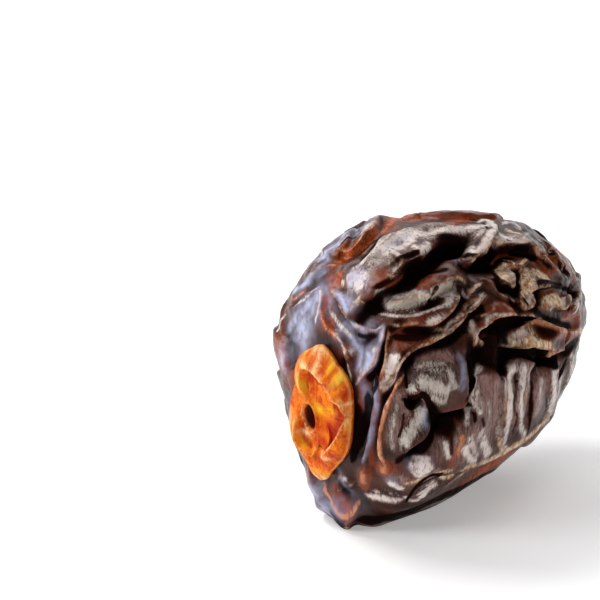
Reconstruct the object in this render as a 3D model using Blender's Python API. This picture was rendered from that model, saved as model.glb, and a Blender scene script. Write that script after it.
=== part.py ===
"""A medjool date lying on its side: the wrinkled fruit and the dry calyx on its stem end.

The fruit lies along Y with its stem end at -Y. A place on its skin is given by two values: how far
it is along the skin from the stem pole to the tip, in percent, and how far round the long axis it
is, in degrees, from 0 at the top through 90 on the +X flank to 180 underneath.
"""
import bpy
import numpy as np
from mathutils import Matrix, Vector, noise

MM = 0.001

# Driving dimensions of the fruit
LENGTH = 45.0 * MM
WIDTH = 28.5 * MM
HEIGHT = 34.5 * MM
STEM_BLUNTNESS = 5.2
TIP_BLUNTNESS = 2.0
ROUNDNESS = 1.85
TAPER = 0.15
TIP_RISE = 1.6 * MM
END_DROOP = 1.8 * MM
END_LEAN = -0.3 * MM
SKIN_SINK = 0.45 * MM
STEM_RECESS = 1.2 * MM
STEM_SEAT = (4, 10.5)
FOLDS_START = (0.2, 2.8)
PROFILE_SAMPLES = 4001
POLES = (0.05, 99.95)
BELLY = 2.6 * MM
BELLY_PLACE = (1.0 * MM, 10.0 * MM, 36.0)
REST_REACH = (-0.85, -0.6, 0.15, 0.5)
REST_ROUND = (0.72, 0.97)
REST_DEPTH = 0.8 * MM
REST_EVENING = 0.08 * MM

# A fold: how high its crest and how deep its furrow is for its height, the radius of its lip and how
# steep the wall below it, and where the furrow lies and how wide its far side is in millimetres
CREST_SHARE = 0.75
FURROW_SHARE = 0.8
LIP = 0.25
WALL = 1.15
FURROW_PLACE = 1.5
FURROW_SPREAD = (0.7, 0.6)
BLEND_POWER = 3.0
FOLD_SCALE = 1.25 * MM
FOLD_FADE = 0.2
PATH_STEPS = 12

# Wandering folds on the rest of the skin
SEED = 27
WANDER_STEP = 2.0 * MM
WANDER_HEIGHT = (0.6, 1.05)
WANDER_GENTLE = (1.6, 3.0)
WANDER_STEEP = (0.6, 0.9)
WANDER_TURN = 0.28
WANDER_ALONG = (16, 29, 42, 55, 68, 80)
WANDER_ROUND = 17
WANDER_REACH = (13, 97)
UNDERSIDE = (0.4, 0.95)
UNDERSIDE_CALM = 0.55
REST_CALM = 0.75
TIP_CALM = (0.65, 55, 75)
STEM_CALM = (0.5, 16, 28)
WANDER_SCATTER = (5, 4)
WANDER_HEADING = 0.35
WANDER_STEPS = (5, 12)
FORK_CHANCE = 0.45
FORK_HEIGHT = 0.7
FORK_TURN = (0.7, 1.1)
FORK_STEPS = 4

# Where the folds read off the fruit cover the skin: the top and bottom bounds as (percent, degrees)
LAID_TOP = ((12, -52), (24, -50), (30, -30), (45, -24), (50, -14), (60, -2), (80, 24))
LAID_BOTTOM = ((12, 195), (24, 190), (30, 150), (50, 146), (66, 136), (80, 92))
LAID_END = 80
LAID_BLEND = 6
LAID_END_BLEND = 2
SEAM = -120

# Dished facets
CELL_DEPTH = 0.30 * MM
CELL_SIZE = 5.0 * MM
CELL_STRETCH = 1.8
CELL_WARP = 0.3

# Mesh resolution: a dense skin is made first, then thinned to the wanted number of triangles
ROWS = 150
COLUMNS = 250
FRUIT_TRIANGLES = 11000
CALYX_ROWS = 44
CALYX_COLUMNS = 140
CALYX_TRIANGLES = 4600

SKIN_COLOUR = (0.055, 0.02, 0.013)
SKIN_ROUGHNESS = 0.32
CALYX_COLOUR = (0.72, 0.2, 0.03)
CALYX_ROUGHNESS = 0.55

# The calyx's edge as (degrees round, percent along)
CALYX_EDGE_LINE = (
    (0, 12.4), (6, 12.9), (18, 12.7), (32, 12.3), (49, 12.9), (58, 12.9), (71, 12.1), (87, 11.4),
    (106, 11.3), (122, 11.1), (143, 11.0), (158, 11.6), (170, 13.2), (182, 14.3), (190, 13.8),
    (196, 12.0), (203, 10.2), (212, 10.3), (222, 11.0), (236, 10.5), (253, 9.4), (275, 8.4),
    (299, 7.9), (320, 9.4), (332, 10.6), (351, 11.5), (360, 12.4),
)
CALYX_GAP = 0.35 * MM
CALYX_EDGE = 0.65 * MM
CALYX_CROWN = 1.1 * MM

# Where the stem broke off: place, half-size and depth in millimetres, and the lip around it: its height,
# where it lies and how wide it is, both as shares of the hole's half-size
CALYX_HOLE = (-0.5, -0.7, 1.15, 1.55, 1.3)
HOLE_LIP = (0.45, 1.25, 0.17)
HOLE_WALL = (0.75, 1.15)
HOLE_CLEAR = (1.0, 1.4)
RIMS_END = (0.9, 1.0)

# Rims of the petals: height and the widths of the outer and the inner side in millimetres, then points
# as millimetres towards +X and up from the stem pole; the inner side is on the right
RIM_FURROW = 0.4
RIM_SIDE = 0.55
RIMS = (
    (1.2, 1, 0.4, (3.0, 3.5), (3.8, 3.9), (4.7, 3.7), (5.7, 3.2), (6.2, 2.3), (6.4, 1.4), (6.1, 0.3),
     (5.5, -1.1), (4.5, -2.5), (3.4, -3.7), (2.6, -4.5), (2.1, -4.0), (2.0, -3.2)),
    (1, 0.9, 0.4, (-1.0, 0.7), (-1.6, 1.9), (-2.0, 3.0), (-1.7, 4.6), (-0.9, 5.8), (0.3, 6.1), (1.6,
     5.8), (2.5, 5.3), (3.3, 5.1), (3.2, 4.4), (2.8, 3.6)),
    (0.8, 0.8, 0.4, (0.2, -5.6), (-0.7, -5.5), (-2.2, -5.2), (-3.0, -4.3), (-3.2, -2.7), (-2.7, -1.3),
     (-1.5, 0.2)),
    (0.45, 0.4, 0.3, (-0.1, -5.8), (0.7, -4.5), (1.0, -3.7)),
    (0.45, 0.6, 0.3, (5.0, 3.8), (5.9, 3.7), (6.7, 3.1), (7.2, 2.2)),
    (0.4, 0.5, 0.3, (2.7, 3.8), (3.5, 4.1), (4.3, 3.9)),
    (0.25, 0.5, 0.5, (1.4, 8.4), (1.5, 7.3), (2.0, 6.2), (2.5, 5.1)),
    (0.2, 0.5, 0.5, (0.1, 7.5), (0.6, 6.4), (1.4, 5.4)),
    (0.2, 0.5, 0.5, (4.9, 6.0), (4.6, 5.1), (4.2, 4.1)),
    (0.25, 0.5, 0.4, (-1.5, 5.2), (-1.2, 3.9), (-0.8, 2.9), (-0.2, 2.0)),
)

# Folds read off the fruit by eye. Each has its height and the widths of its gentle and its steep
# side in millimetres, then its points as (percent along, degrees round). The steep side is on the
# right of the points' direction, seen from outside.
FOLDS = (
    (0.5, 1, 0.5, (33.5, -45), (28.5, -17), (30, -15), (31.5, -15), (37, -25), (38.5, -24)),
    (0.7, 1.2, 0.5, (29.5, -20), (30, -12), (30.5, -9), (32.5, -9), (34.5, -11), (37, -12), (41, -19),
     (45, -24)),
    (0.7, 2, 0.8, (55, 14), (52.5, 12), (50, 9), (48, 6), (45.5, 4), (42, 4), (39, 4), (37, 3), (35, 3),
     (32.5, 6), (30, 8), (28, 7), (26.5, 3), (25.5, 3)),
    (0.5, 1.5, 0.9, (45.5, -21), (48.5, -20), (52, -19), (53.5, -8), (55.5, -3), (58, 1), (64.5, 1),
     (67, 6)),
    (0.4, 0.8, 0.5, (25, -37), (24.5, -26), (25.5, -21), (26, -19), (26.5, -15), (26.5, -11), (25.5,
     -8)),
    (0.4, 0.9, 0.5, (23, -50), (22.5, -40), (22.5, -32), (22.5, -28)),
    (0.4, 1.2, 0.5, (23, -15), (21.5, -17), (21, -22), (21, -32), (20.5, -39), (20.5, -44), (25, -63)),
    (0.5, 2, 0.6, (12.5, 55), (13.5, 45), (14.5, 35), (15, 26), (15.5, 19), (15, 9), (15.5, 1), (17,
     -5), (18.5, -9), (21, -12), (22.5, -14)),
    (0.6, 1.6, 0.4, (22, -9), (21.5, 0), (20.5, 7), (20, 12), (19.5, 18), (18.5, 21)),
    (0.3, 0.8, 0.4, (22, 12), (22, 5), (22, 0), (22, -7)),
    (0.4, 1.5, 0.35, (26, 1), (24, 7), (22, 11)),
    (1.2, 2.6, 0.6, (22, 12), (23, 16), (24, 20), (25, 22), (26, 22), (27.5, 23), (29, 25), (31, 25),
     (32.5, 23), (34.5, 21), (37.5, 21), (40, 19), (43, 16), (46.5, 15), (49, 16), (51.5, 18), (53,
     23)),
    (1.1, 1.5, 0.55, (47.5, 25), (47, 29), (47, 33), (51, 29), (52, 29), (53, 29), (54, 27), (55.5, 26),
     (57, 28), (59, 29), (60.5, 30), (62, 30), (64.5, 32), (66.5, 34), (69.5, 37), (69.5, 41)),
    (0.4, 0.8, 0.4, (33, 7), (33.5, 11), (33.5, 15), (33.5, 18)),
    (0.3, 0.4, 0.4, (33, 16), (33.5, 19), (32, 22), (30.5, 24), (29.5, 23), (30, 20), (32, 15), (33,
     16)),
    (0.9, 1.8, 0.45, (26, 29), (27.5, 33), (29.5, 35), (31, 36), (32.5, 37), (33, 40), (34.5, 40), (36,
     39), (38, 38), (39.5, 37), (42, 38), (43.5, 41), (44, 44)),
    (0.8, 1.6, 0.45, (24, 38), (26, 43), (28.5, 46), (31, 49), (32.5, 51), (34.5, 51), (36.5, 50),
     (38.5, 48), (41, 44), (41.5, 39)),
    (0.5, 0.7, 0.4, (43.5, 44), (43.5, 47), (43, 48), (44, 46), (46, 45), (48, 45)),
    (0.5, 0.8, 0.5, (49.5, 43), (49.5, 47), (50.5, 50), (51.5, 53), (53, 55), (54.5, 58), (55.5, 60)),
    (1, 1.8, 0.5, (20, 67), (21.5, 64), (23, 61), (24, 58), (25, 57), (26.5, 56), (28.5, 56), (30.5,
     57), (32.5, 57), (35, 57), (37, 56), (38.5, 55), (40.5, 53), (42, 53), (43.5, 52), (45, 51), (47,
     50), (49, 48)),
    (0.4, 0.6, 0.4, (31, 53), (33, 54), (34.5, 55), (37, 54), (38.5, 53), (41, 51), (42.5, 50), (45,
     50), (47.5, 49)),
    (0.6, 0.7, 0.5, (24.5, 43), (23.5, 46), (22.5, 50), (21.5, 55), (20, 60), (19.5, 64), (19, 68), (20,
     67)),
    (0.8, 1, 0.5, (13, 57), (15, 53), (17.5, 51), (19, 50), (20, 47), (21.5, 45), (23, 42), (23.5, 40)),
    (0.5, 0.8, 0.5, (23.5, 39), (22, 39), (20.5, 34), (19.5, 28), (19, 21)),
    (0.6, 0.6, 0.5, (18.5, 52), (18, 61), (17.5, 68), (17, 76), (16, 83), (15.5, 90), (15, 98), (15,
     107), (15, 116), (14.5, 123)),
    (0.7, 1.4, 0.5, (24, 65), (23, 67), (22, 71), (20.5, 75), (19.5, 79), (18.5, 86), (18, 94), (18,
     103), (19, 110), (20, 114)),
    (0.9, 2.2, 0.6, (21, 111), (22, 107), (23, 100), (24.5, 96), (26, 94), (27, 92), (27.5, 88), (27,
     84), (27, 80), (26.5, 77)),
    (0.9, 2.4, 0.7, (24.5, 69), (24.5, 73), (25, 76), (26, 73), (27, 73), (27.5, 78), (28, 82), (30,
     85), (31.5, 86), (34, 87), (36, 87), (36, 83), (36, 78), (36.5, 72), (36.5, 68), (36, 64)),
    (0.7, 2, 0.7, (44, 74), (40, 75), (42.5, 82), (40.5, 84), (39.5, 88), (40, 93), (39, 96), (35.5,
     95), (33, 94), (31.5, 97), (29.5, 100), (26.5, 102)),
    (0.4, 1, 0.5, (55, 62), (52.5, 61), (51, 59), (50, 57), (47.5, 57), (46, 58), (44, 58), (43, 57)),
    (1.1, 1.5, 0.5, (43, 71), (43, 69), (41.5, 65), (42, 62), (43.5, 61), (46, 60), (48, 60), (50.5,
     61), (52.5, 62), (55.5, 64), (58, 66), (60.5, 70), (62.5, 74)),
    (0.5, 0.8, 0.5, (42.5, 57), (42, 60), (41.5, 64), (41.5, 67), (43, 71)),
    (0.9, 1.6, 0.6, (77.5, 86), (75, 87), (69, 84), (64.5, 79), (62.5, 77), (60.5, 74), (58.5, 71), (57,
     71), (55, 71), (53.5, 72), (53.5, 74)),
    (0.9, 1.3, 0.5, (48.5, 74), (53.5, 78), (55.5, 78), (58.5, 81), (63, 86), (61, 87), (66, 88), (66.5,
     88), (68.5, 90)),
    (0.6, 1.2, 0.7, (67.5, 92), (62, 90), (63.5, 97), (60.5, 96), (59, 93), (54, 86), (52.5, 84), (52,
     86), (50.5, 89), (47.5, 90), (44.5, 83), (44, 78), (44, 74)),
    (0.35, 1.2, 1.2, (52, 85), (51, 89), (49.5, 94), (49.5, 101), (50, 109), (50.5, 117), (52, 127)),
    (0.35, 1.2, 1.1, (53, 85), (53.5, 91), (52.5, 96), (52, 102), (53.5, 112), (58.5, 129)),
    (0.3, 1.2, 1.2, (58, 94), (58.5, 102), (59, 110), (61, 121)),
    (0.3, 1.1, 1.1, (67, 92), (64.5, 96), (63, 99), (64.5, 109), (66.5, 119), (68.5, 133), (66.5, 135)),
    (0.3, 1.1, 1.1, (71, 94), (73, 107), (74, 120), (73, 129)),
    (0.5, 2, 0.6, (29.5, 124), (30.5, 119), (32, 117), (35, 119), (39, 122), (43.5, 126), (48.5, 130),
     (52.5, 132), (56, 131), (62, 138), (65, 136)),
    (0.6, 1.6, 0.6, (17.5, 188), (19.5, 187), (23, 189), (24, 184), (24.5, 180), (25, 177),
     (23.5, 170), (21, 162), (20, 155), (19, 149)),
    (0.3, 0.8, 0.8, (17, 176), (15, 155), (15.5, 149), (15.5, 141)),
    (0.4, 0.8, 0.5, (21.5, 202), (22, 197), (22.5, 192), (23.5, 187), (24, 183)),
    (0.6, 1, 0.4, (57, 36), (56.5, 40), (57.5, 42), (58.5, 43), (60.5, 41), (65.5, 38)),
    (0.6, 1.2, 0.45, (52.5, 44), (53, 47), (54.5, 49), (55, 51), (55.5, 48), (56, 45), (56.5, 41)),
    (0.9, 1, 0.45, (60.5, 45), (58.5, 50), (56, 56), (55, 59), (55.5, 61), (57, 61), (57.5, 60), (57.5,
     57), (59, 55), (62, 55), (65, 56), (68, 57)),
    (0.6, 1.2, 0.5, (65.5, 69), (66.5, 68), (68.5, 69), (70, 68), (72, 66), (70, 64), (69, 61)),
    (0.6, 0.9, 0.5, (82.5, 57), (78, 65), (77, 69), (74, 72), (73, 74)),
    (0.5, 0.8, 0.5, (66.5, 34), (67, 37), (67.5, 41), (69, 45), (70, 48), (74.5, 49)),
    (0.5, 0.8, 0.5, (76, 30), (74, 38), (74.5, 43), (77.5, 45)),
    (0.4, 0.8, 0.6, (57, 28), (57.5, 24), (59.5, 18), (61.5, 10), (60.5, 8), (57, 10)),
)

# Soft swellings and hollows: height in millimetres, half-size along and round in millimetres, place
SWELLS = (
    (-0.5, 1.3, 1.1, 36.5, 10),
    (-0.3, 0.6, 0.7, 32, 19),
    (-0.5, 1.7, 0.6, 45, 9),
    (-0.4, 0.5, 0.5, 60, 12),
    (-0.4, 0.8, 0.6, 68, 19),
    (-1.0, 2.6, 1.6, 35.5, 26),
    (-2.3, 3.4, 2.0, 47.5, 20),
    (-2.0, 2.8, 2.2, 53, 35),
    (-0.9, 2.0, 1.0, 57.5, 33),
    (-2.6, 1.9, 3.6, 50.5, 78),
    (-2.3, 3.4, 1.3, 62, 93),
    (-1.9, 1.0, 3.8, 42, 77),
    (-1.7, 1.8, 1.7, 32, 95),
    (-1.0, 1.4, 1.2, 37, 94),
    (-1.0, 1.0, 0.9, 24.5, 79),
    (-0.6, 0.7, 1.6, 24, 76),
    (-0.8, 1.2, 1.2, 39, 89),
    (-0.8, 0.9, 1.4, 29, 99),
    (-0.7, 1.2, 1.0, 25, 103),
    (-0.9, 0.9, 2.0, 42, 48),
    (-0.8, 0.6, 1.8, 58, 50),
    (-0.8, 1.3, 0.8, 52.5, 50),
    (-0.7, 0.7, 1.3, 62.5, 62),
    (-0.7, 0.8, 1.3, 76, 64),
    (-0.5, 1.6, 1.0, 20, 38),
    (-0.7, 1.0, 4.0, 12.5, 90),
    (-0.5, 0.8, 5.0, 16, 94),
    (-0.5, 3.0, 1.2, 27, 53),
    (-0.4, 2.2, 1.2, 22, 25),
    (0.4, 3.2, 3.0, 30, 73),
    (0.4, 2.0, 3.4, 24, 89),
    (0.8, 1.7, 1.6, 27, 109),
    (0.4, 1.4, 0.7, 23.5, 123),
    (0.9, 0.9, 2.0, 16.5, 128),
    (0.6, 1.0, 1.2, 20, 115),
    (-0.4, 0.5, 0.8, 52, 93),
    (-0.6, 0.8, 1.7, 67.5, 102),
    (-0.4, 0.6, 4.0, 57, 109),
    (-0.4, 0.8, 4.0, 46.5, 104),
    (0.7, 3.5, 1.0, 62, 78),
    (1.7, 5.0, 5.0, 24, 165),
    (1.7, 4.5, 5.0, 19, 190),
    (1.1, 5.0, 5.0, 23, -66),
    (0.9, 5.0, 4.5, 31, -30),
    (0.9, 4.0, 3.0, 41, -25),
    (-0.6, 3.0, 2.5, 67, -12),
    (-0.5, 2.0, 3.0, 91, 55),
    (-0.8, 3.5, 4.0, 83, 106),
    (0.9, 5.0, 3.0, 66, 137),
    (0.4, 4.0, 3.0, 54, 146),
    (1.1, 6.0, 3.0, 40, 150),
    (0.5, 4.0, 3.0, 28, 158),
    (0.4, 3.0, 3.0, 23, 171),
    (0.3, 3.0, 2.5, 60, 147),
    (-0.4, 3.0, 4.0, 23, -108),
    (-0.3, 2.5, 1.5, 31.5, -33),
    (0.6, 2.0, 1.5, 43.5, -21),
    (-0.5, 2.0, 2.5, 85, 66),
    (-0.4, 2.5, 3.0, 88, 120),
)


def profile(u):
    """Share of the full half-width at u, which runs from -1 at the stem to 1 at the tip."""
    bluntness = np.where(u < 0, STEM_BLUNTNESS, TIP_BLUNTNESS)
    return np.clip(1 - np.abs(u) ** bluntness, 0, None) ** (1 / ROUNDNESS) * (1 - TAPER * u)


PROFILE_U = -np.cos(np.linspace(0, np.pi, PROFILE_SAMPLES))
PROFILE_R = profile(PROFILE_U)
PROFILE_STEPS = np.hypot(np.diff(PROFILE_U) * LENGTH / 2, np.diff(PROFILE_R) * (WIDTH + HEIGHT) / 4)
SKIN_LENGTH = PROFILE_STEPS.sum()
PROFILE_SHARE = np.append(0, np.cumsum(PROFILE_STEPS)) / SKIN_LENGTH


def smooth_step(value, low, high):
    """0 below low, 1 above high and an even slope between."""
    t = np.clip((value - low) / (high - low), 0, 1)
    return t * t * (3 - 2 * t)


def rest_share(u, degrees):
    """1 in the middle of the place that the fruit rests on, 0 away from there."""
    start, full, level, end = REST_REACH
    lengthwise = smooth_step(u, start, full) * (1 - smooth_step(u, level, end))
    return lengthwise * smooth_step(-np.cos(np.radians(degrees)), *REST_ROUND)


def belly(y, degrees):
    """How far the underside sags below the turned form."""
    middle, half_along, half_round = BELLY_PLACE
    from_below = (np.asarray(degrees) % 360 - 180) / half_round
    return BELLY * np.exp(-((y - middle) / half_along) ** 2 - from_below ** 2)


def skin_point(percent, degrees):
    """Places on the smooth body below the folds."""
    share, turn = np.broadcast_arrays(np.asarray(percent, float) / 100, np.radians(degrees))
    u = np.interp(share, PROFILE_SHARE, PROFILE_U)
    r = np.interp(share, PROFILE_SHARE, PROFILE_R)
    x = r * WIDTH / 2 * np.sin(turn) + END_LEAN * u ** 2
    z = HEIGHT / 2 + r * HEIGHT / 2 * np.cos(turn) + TIP_RISE * u - END_DROOP * u ** 2
    y = u * LENGTH / 2
    return np.stack([x, y, z - belly(y, degrees)], -1)


def skin_normal(percent, degrees):
    """Outward normals of the smooth body."""
    ahead = skin_point(np.minimum(percent + 0.2, 99.9), degrees)
    behind = skin_point(np.maximum(percent - 0.2, 0.1), degrees)
    around = skin_point(percent, degrees + 0.5) - skin_point(percent, degrees - 0.5)
    return unit(np.cross(around, ahead - behind))


def unit(vectors):
    return vectors / np.linalg.norm(vectors, axis=-1, keepdims=True)


def smooth_path(points):
    """A smooth curve through the points, with the share of its length at each sample."""
    p = np.array(points, float)
    p = np.vstack([2 * p[0] - p[1], p, 2 * p[-1] - p[-2]])
    t = np.linspace(0, 1, PATH_STEPS, endpoint=False)[:, None]
    spans = []
    for a, b, c, d in zip(p, p[1:], p[2:], p[3:]):
        bend = (2 * a - 5 * b + 4 * c - d) * t ** 2 + (3 * b - a - 3 * c + d) * t ** 3
        spans.append(b + ((c - a) * t + bend) / 2)
    path = np.vstack(spans + [p[-2:-1]])
    return path, np.linspace(0, 1, len(path))


def ridge_profile(offset, gentle, steep):
    """Shares of a fold's crest and of its furrow at an offset to the right of its lip."""
    beside = np.hypot(offset, LIP) - LIP
    crest = np.where(offset < 0, np.exp(-(beside / gentle) ** 1.2), np.exp(-(beside / steep * WALL) ** 2))
    past = offset - FURROW_PLACE * steep
    width = np.where(past < 0, steep, FURROW_SPREAD[0] + FURROW_SPREAD[1] * gentle)
    return crest, np.exp(-(past / width) ** 2)


def fold_relief(places, folds):
    """Height over the smooth body that the folds give at each place."""
    crests = np.zeros(len(places))
    furrows = np.zeros(len(places))
    for height, gentle, steep, *points in folds:
        path, run = smooth_path(points)
        lip = skin_point(path[:, 0], path[:, 1])
        right = np.cross(unit(np.gradient(lip, axis=0)), skin_normal(path[:, 0], path[:, 1]))
        fade = smooth_step(np.minimum(run, 1 - run), 0, FOLD_FADE)
        reach = 3 * max(gentle, FURROW_PLACE * steep) * MM
        near = np.all((places > lip.min(0) - reach) & (places < lip.max(0) + reach), axis=1)
        near = np.flatnonzero(near)
        gaps = np.linalg.norm(places[near, None] - lip[None], axis=2)
        closest = gaps.argmin(axis=1)
        touched = gaps.min(axis=1) < reach
        near, closest = near[touched], closest[touched]
        offset = np.sum((places[near] - lip[closest]) * right[closest], axis=1) / MM
        crest, furrow = ridge_profile(offset, gentle, steep)
        amount = height * FOLD_SCALE * fade[closest]
        crests[near] += (amount * crest * CREST_SHARE) ** BLEND_POWER
        furrows[near] += (amount * furrow * FURROW_SHARE) ** BLEND_POWER
    return crests ** (1 / BLEND_POWER) - furrows ** (1 / BLEND_POWER)


def swell_relief(percent, degrees):
    """Soft bumps and hollows."""
    height = np.zeros(len(percent))
    for rise, half_along, half_round, at_percent, at_degrees in SWELLS:
        along = (percent - at_percent) / 100 * SKIN_LENGTH / MM
        turn = np.radians((degrees - at_degrees + 180) % 360 - 180)
        around = turn * (WIDTH + HEIGHT) / 4 / MM
        height += rise * MM * np.exp(-(along / half_along) ** 2 - (around / half_round) ** 2)
    return height


def laid_share(percent, degrees):
    """1 where the folds read off the fruit cover the skin, falling to 0 where wandering folds take over."""
    turn = (degrees - SEAM) % 360 + SEAM
    upper, lower = (np.interp(percent, *np.transpose(line)) for line in (LAID_TOP, LAID_BOTTOM))
    across = smooth_step(turn - upper, -LAID_BLEND, LAID_BLEND)
    across *= 1 - smooth_step(turn - lower, -LAID_BLEND, LAID_BLEND)
    return across * (1 - smooth_step(percent, LAID_END - LAID_END_BLEND, LAID_END + LAID_END_BLEND))


def underside(degrees):
    """1 straight underneath, falling to 0 on the flanks."""
    return smooth_step(-np.cos(np.radians(degrees)), *UNDERSIDE)


def wander(rng, percent, degrees, heading, steps):
    """Points of one fold that meanders over the skin from a start place."""
    points = [(percent, degrees)]
    for _ in range(steps):
        heading += rng.normal(0, WANDER_TURN)
        radius = np.interp(percent / 100, PROFILE_SHARE, PROFILE_R) * (WIDTH + HEIGHT) / 4
        percent += WANDER_STEP * np.cos(heading) / SKIN_LENGTH * 100
        degrees += np.degrees(WANDER_STEP * np.sin(heading) / max(radius, 2 * MM))
        if not WANDER_REACH[0] < percent < WANDER_REACH[1] or laid_share(percent, degrees) > 0.5:
            break
        points.append((percent, degrees))
    return points


def wandering_folds():
    """Folds in the same manner on the far flank, underneath and round the tip."""
    rng = np.random.default_rng(SEED)
    folds = []
    for row, along in enumerate(WANDER_ALONG):
        for around in np.arange(0, 360, WANDER_ROUND):
            percent = along + rng.uniform(-WANDER_SCATTER[0], WANDER_SCATTER[0])
            degrees = around + (row % 2) * WANDER_ROUND / 2
            degrees += rng.uniform(-WANDER_SCATTER[1], WANDER_SCATTER[1])
            heading = rng.normal(0, WANDER_HEADING)
            height = rng.uniform(*WANDER_HEIGHT) * (1 - UNDERSIDE_CALM * underside(degrees))
            height *= 1 - TIP_CALM[0] * smooth_step(percent, *TIP_CALM[1:])
            height *= 1 - STEM_CALM[0] * (1 - smooth_step(percent, *STEM_CALM[1:]))
            steps = int(rng.integers(*WANDER_STEPS))
            backward = rng.random() < 0.5
            fork = rng.random() < FORK_CHANCE
            if laid_share(percent, degrees) > 0.5:
                continue
            main = wander(rng, percent, degrees, heading, steps)
            if len(main) < 3:
                continue
            widths = (rng.uniform(*WANDER_GENTLE), rng.uniform(*WANDER_STEEP))
            folds.append((height, *widths, *(main[::-1] if backward else main)))
            if fork:
                turned = heading + rng.choice([-1, 1]) * rng.uniform(*FORK_TURN)
                branch = wander(rng, *main[len(main) // 2], turned, FORK_STEPS)
                if len(branch) >= 3:
                    folds.append((FORK_HEIGHT * height, *widths, *branch))
    return folds


def cell_relief(places):
    """Shallow dished facets, longer along the fruit, with low ridges where they meet."""
    height = np.empty(len(places))
    for i, place in enumerate(places):
        spot = Vector(place / CELL_SIZE)
        spot.y /= CELL_STRETCH
        gaps = noise.voronoi(spot + CELL_WARP * noise.noise_vector(spot))[0]
        height[i] = gaps[1] - gaps[0]
    return -CELL_DEPTH * np.clip(height, 0, 1)


def calyx_edge(degrees):
    """How far along the skin the calyx reaches, in percent."""
    line = np.array(CALYX_EDGE_LINE)
    return np.interp(np.asarray(degrees) % 360, line[:, 0], line[:, 1])


def stem_relief(percent):
    """Height of the smooth skin under the calyx over the body."""
    return -SKIN_SINK - STEM_RECESS * (1 - smooth_step(percent, *STEM_SEAT))


def skin_relief(percent, degrees):
    """Full height of the wrinkled skin over the smooth body."""
    places = skin_point(percent, degrees)
    free = smooth_step(percent - calyx_edge(degrees), *FOLDS_START)
    height = fold_relief(places, FOLDS + tuple(wandering_folds()))
    height += swell_relief(percent, degrees) + cell_relief(places)
    u = np.interp(percent / 100, PROFILE_SHARE, PROFILE_U)
    return height * free * (1 - REST_CALM * rest_share(u, degrees)) + stem_relief(percent)


def closed_grid(rows, columns, first, last):
    """Faces of a tube of rows x columns points, closed by a point at each end."""
    faces = []
    for c in range(columns):
        n = (c + 1) % columns
        faces.append((first, n, c))
        for r in range(rows - 1):
            a, b = r * columns, (r + 1) * columns
            faces.append((a + n, b + n, b + c, a + c))
        faces.append((last, (rows - 1) * columns + c, (rows - 1) * columns + n))
    return faces


def add_solid(name, points, faces, triangles, material):
    """One smooth-shaded object, thinned to the wanted number of triangles."""
    mesh = bpy.data.meshes.new(name + "_dense")
    mesh.from_pydata([tuple(p) for p in points], [], faces)
    dense = bpy.data.objects.new(name + "_dense", mesh)
    bpy.context.collection.objects.link(dense)
    thin = dense.modifiers.new("thin", 'DECIMATE')
    thin.ratio = triangles / sum(len(face) - 2 for face in faces)
    thin.use_collapse_triangulate = True
    bpy.context.view_layer.update()
    solid = bpy.data.meshes.new_from_object(dense.evaluated_get(bpy.context.evaluated_depsgraph_get()))
    bpy.data.objects.remove(dense)
    solid.name = name
    solid.materials.append(material)
    solid.shade_smooth()
    obj = bpy.data.objects.new(name, solid)
    bpy.context.collection.objects.link(obj)
    return obj


def new_material(name, colour, roughness):
    material = bpy.data.materials.new(name)
    material.use_nodes = True
    shader = material.node_tree.nodes["Principled BSDF"]
    shader.inputs["Base Color"].default_value = (*colour, 1)
    shader.inputs["Roughness"].default_value = roughness
    shader.inputs["Metallic"].default_value = 0
    return material


def build_fruit():
    """The fruit's dense skin, closed by a point at the stem pole and one at the tip."""
    percent, degrees = np.meshgrid(np.linspace(0, 100, ROWS + 2)[1:-1],
                                   np.linspace(0, 360, COLUMNS, endpoint=False), indexing="ij")
    percent = np.append(percent.ravel(), POLES)
    degrees = np.append(degrees.ravel(), [0.0, 0.0])
    points = skin_point(percent, degrees)
    normals = skin_normal(percent, degrees)
    normals[-2:] = (0, -1, 0), (0, 1, 0)
    points += normals * skin_relief(percent, degrees)[:, None]
    count = ROWS * COLUMNS
    faces = closed_grid(ROWS, COLUMNS, count, count + 1)
    points[:, 2] = np.maximum(points[:, 2], points[:, 2].min() + REST_DEPTH)
    skin = new_material("date_skin", SKIN_COLOUR, SKIN_ROUGHNESS)
    fruit = add_solid("date_flesh", points, faces, FRUIT_TRIANGLES, skin)
    level = min(v.co.z for v in fruit.data.vertices) + REST_EVENING
    for vertex in fruit.data.vertices:
        vertex.co.z = max(vertex.co.z, level)
    return fruit


def rim_height(x, z):
    """Height that the petals' rims add at a place given in millimetres from the stem pole."""
    spots = np.column_stack([x, z])
    crests = np.zeros(len(x))
    furrows = np.zeros(len(x))
    for height, outer, inner, *points in RIMS:
        path, run = smooth_path(points)
        along = unit(np.gradient(path, axis=0))
        fade = smooth_step(np.minimum(run, 1 - run), 0, FOLD_FADE)
        gaps = np.linalg.norm(spots[:, None] - path[None], axis=2)
        closest = gaps.argmin(axis=1)
        step = spots - path[closest]
        right = np.column_stack([along[closest, 1], -along[closest, 0]])
        offset = np.copysign(gaps.min(axis=1), np.sum(step * right, axis=1))
        crest, furrow = ridge_profile(offset, outer, max(inner, RIM_SIDE))
        amount = height * fade[closest]
        crests += (amount * crest) ** BLEND_POWER
        furrows += (amount * furrow * RIM_FURROW) ** BLEND_POWER
    return crests ** (1 / BLEND_POWER) - furrows ** (1 / BLEND_POWER)


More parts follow.
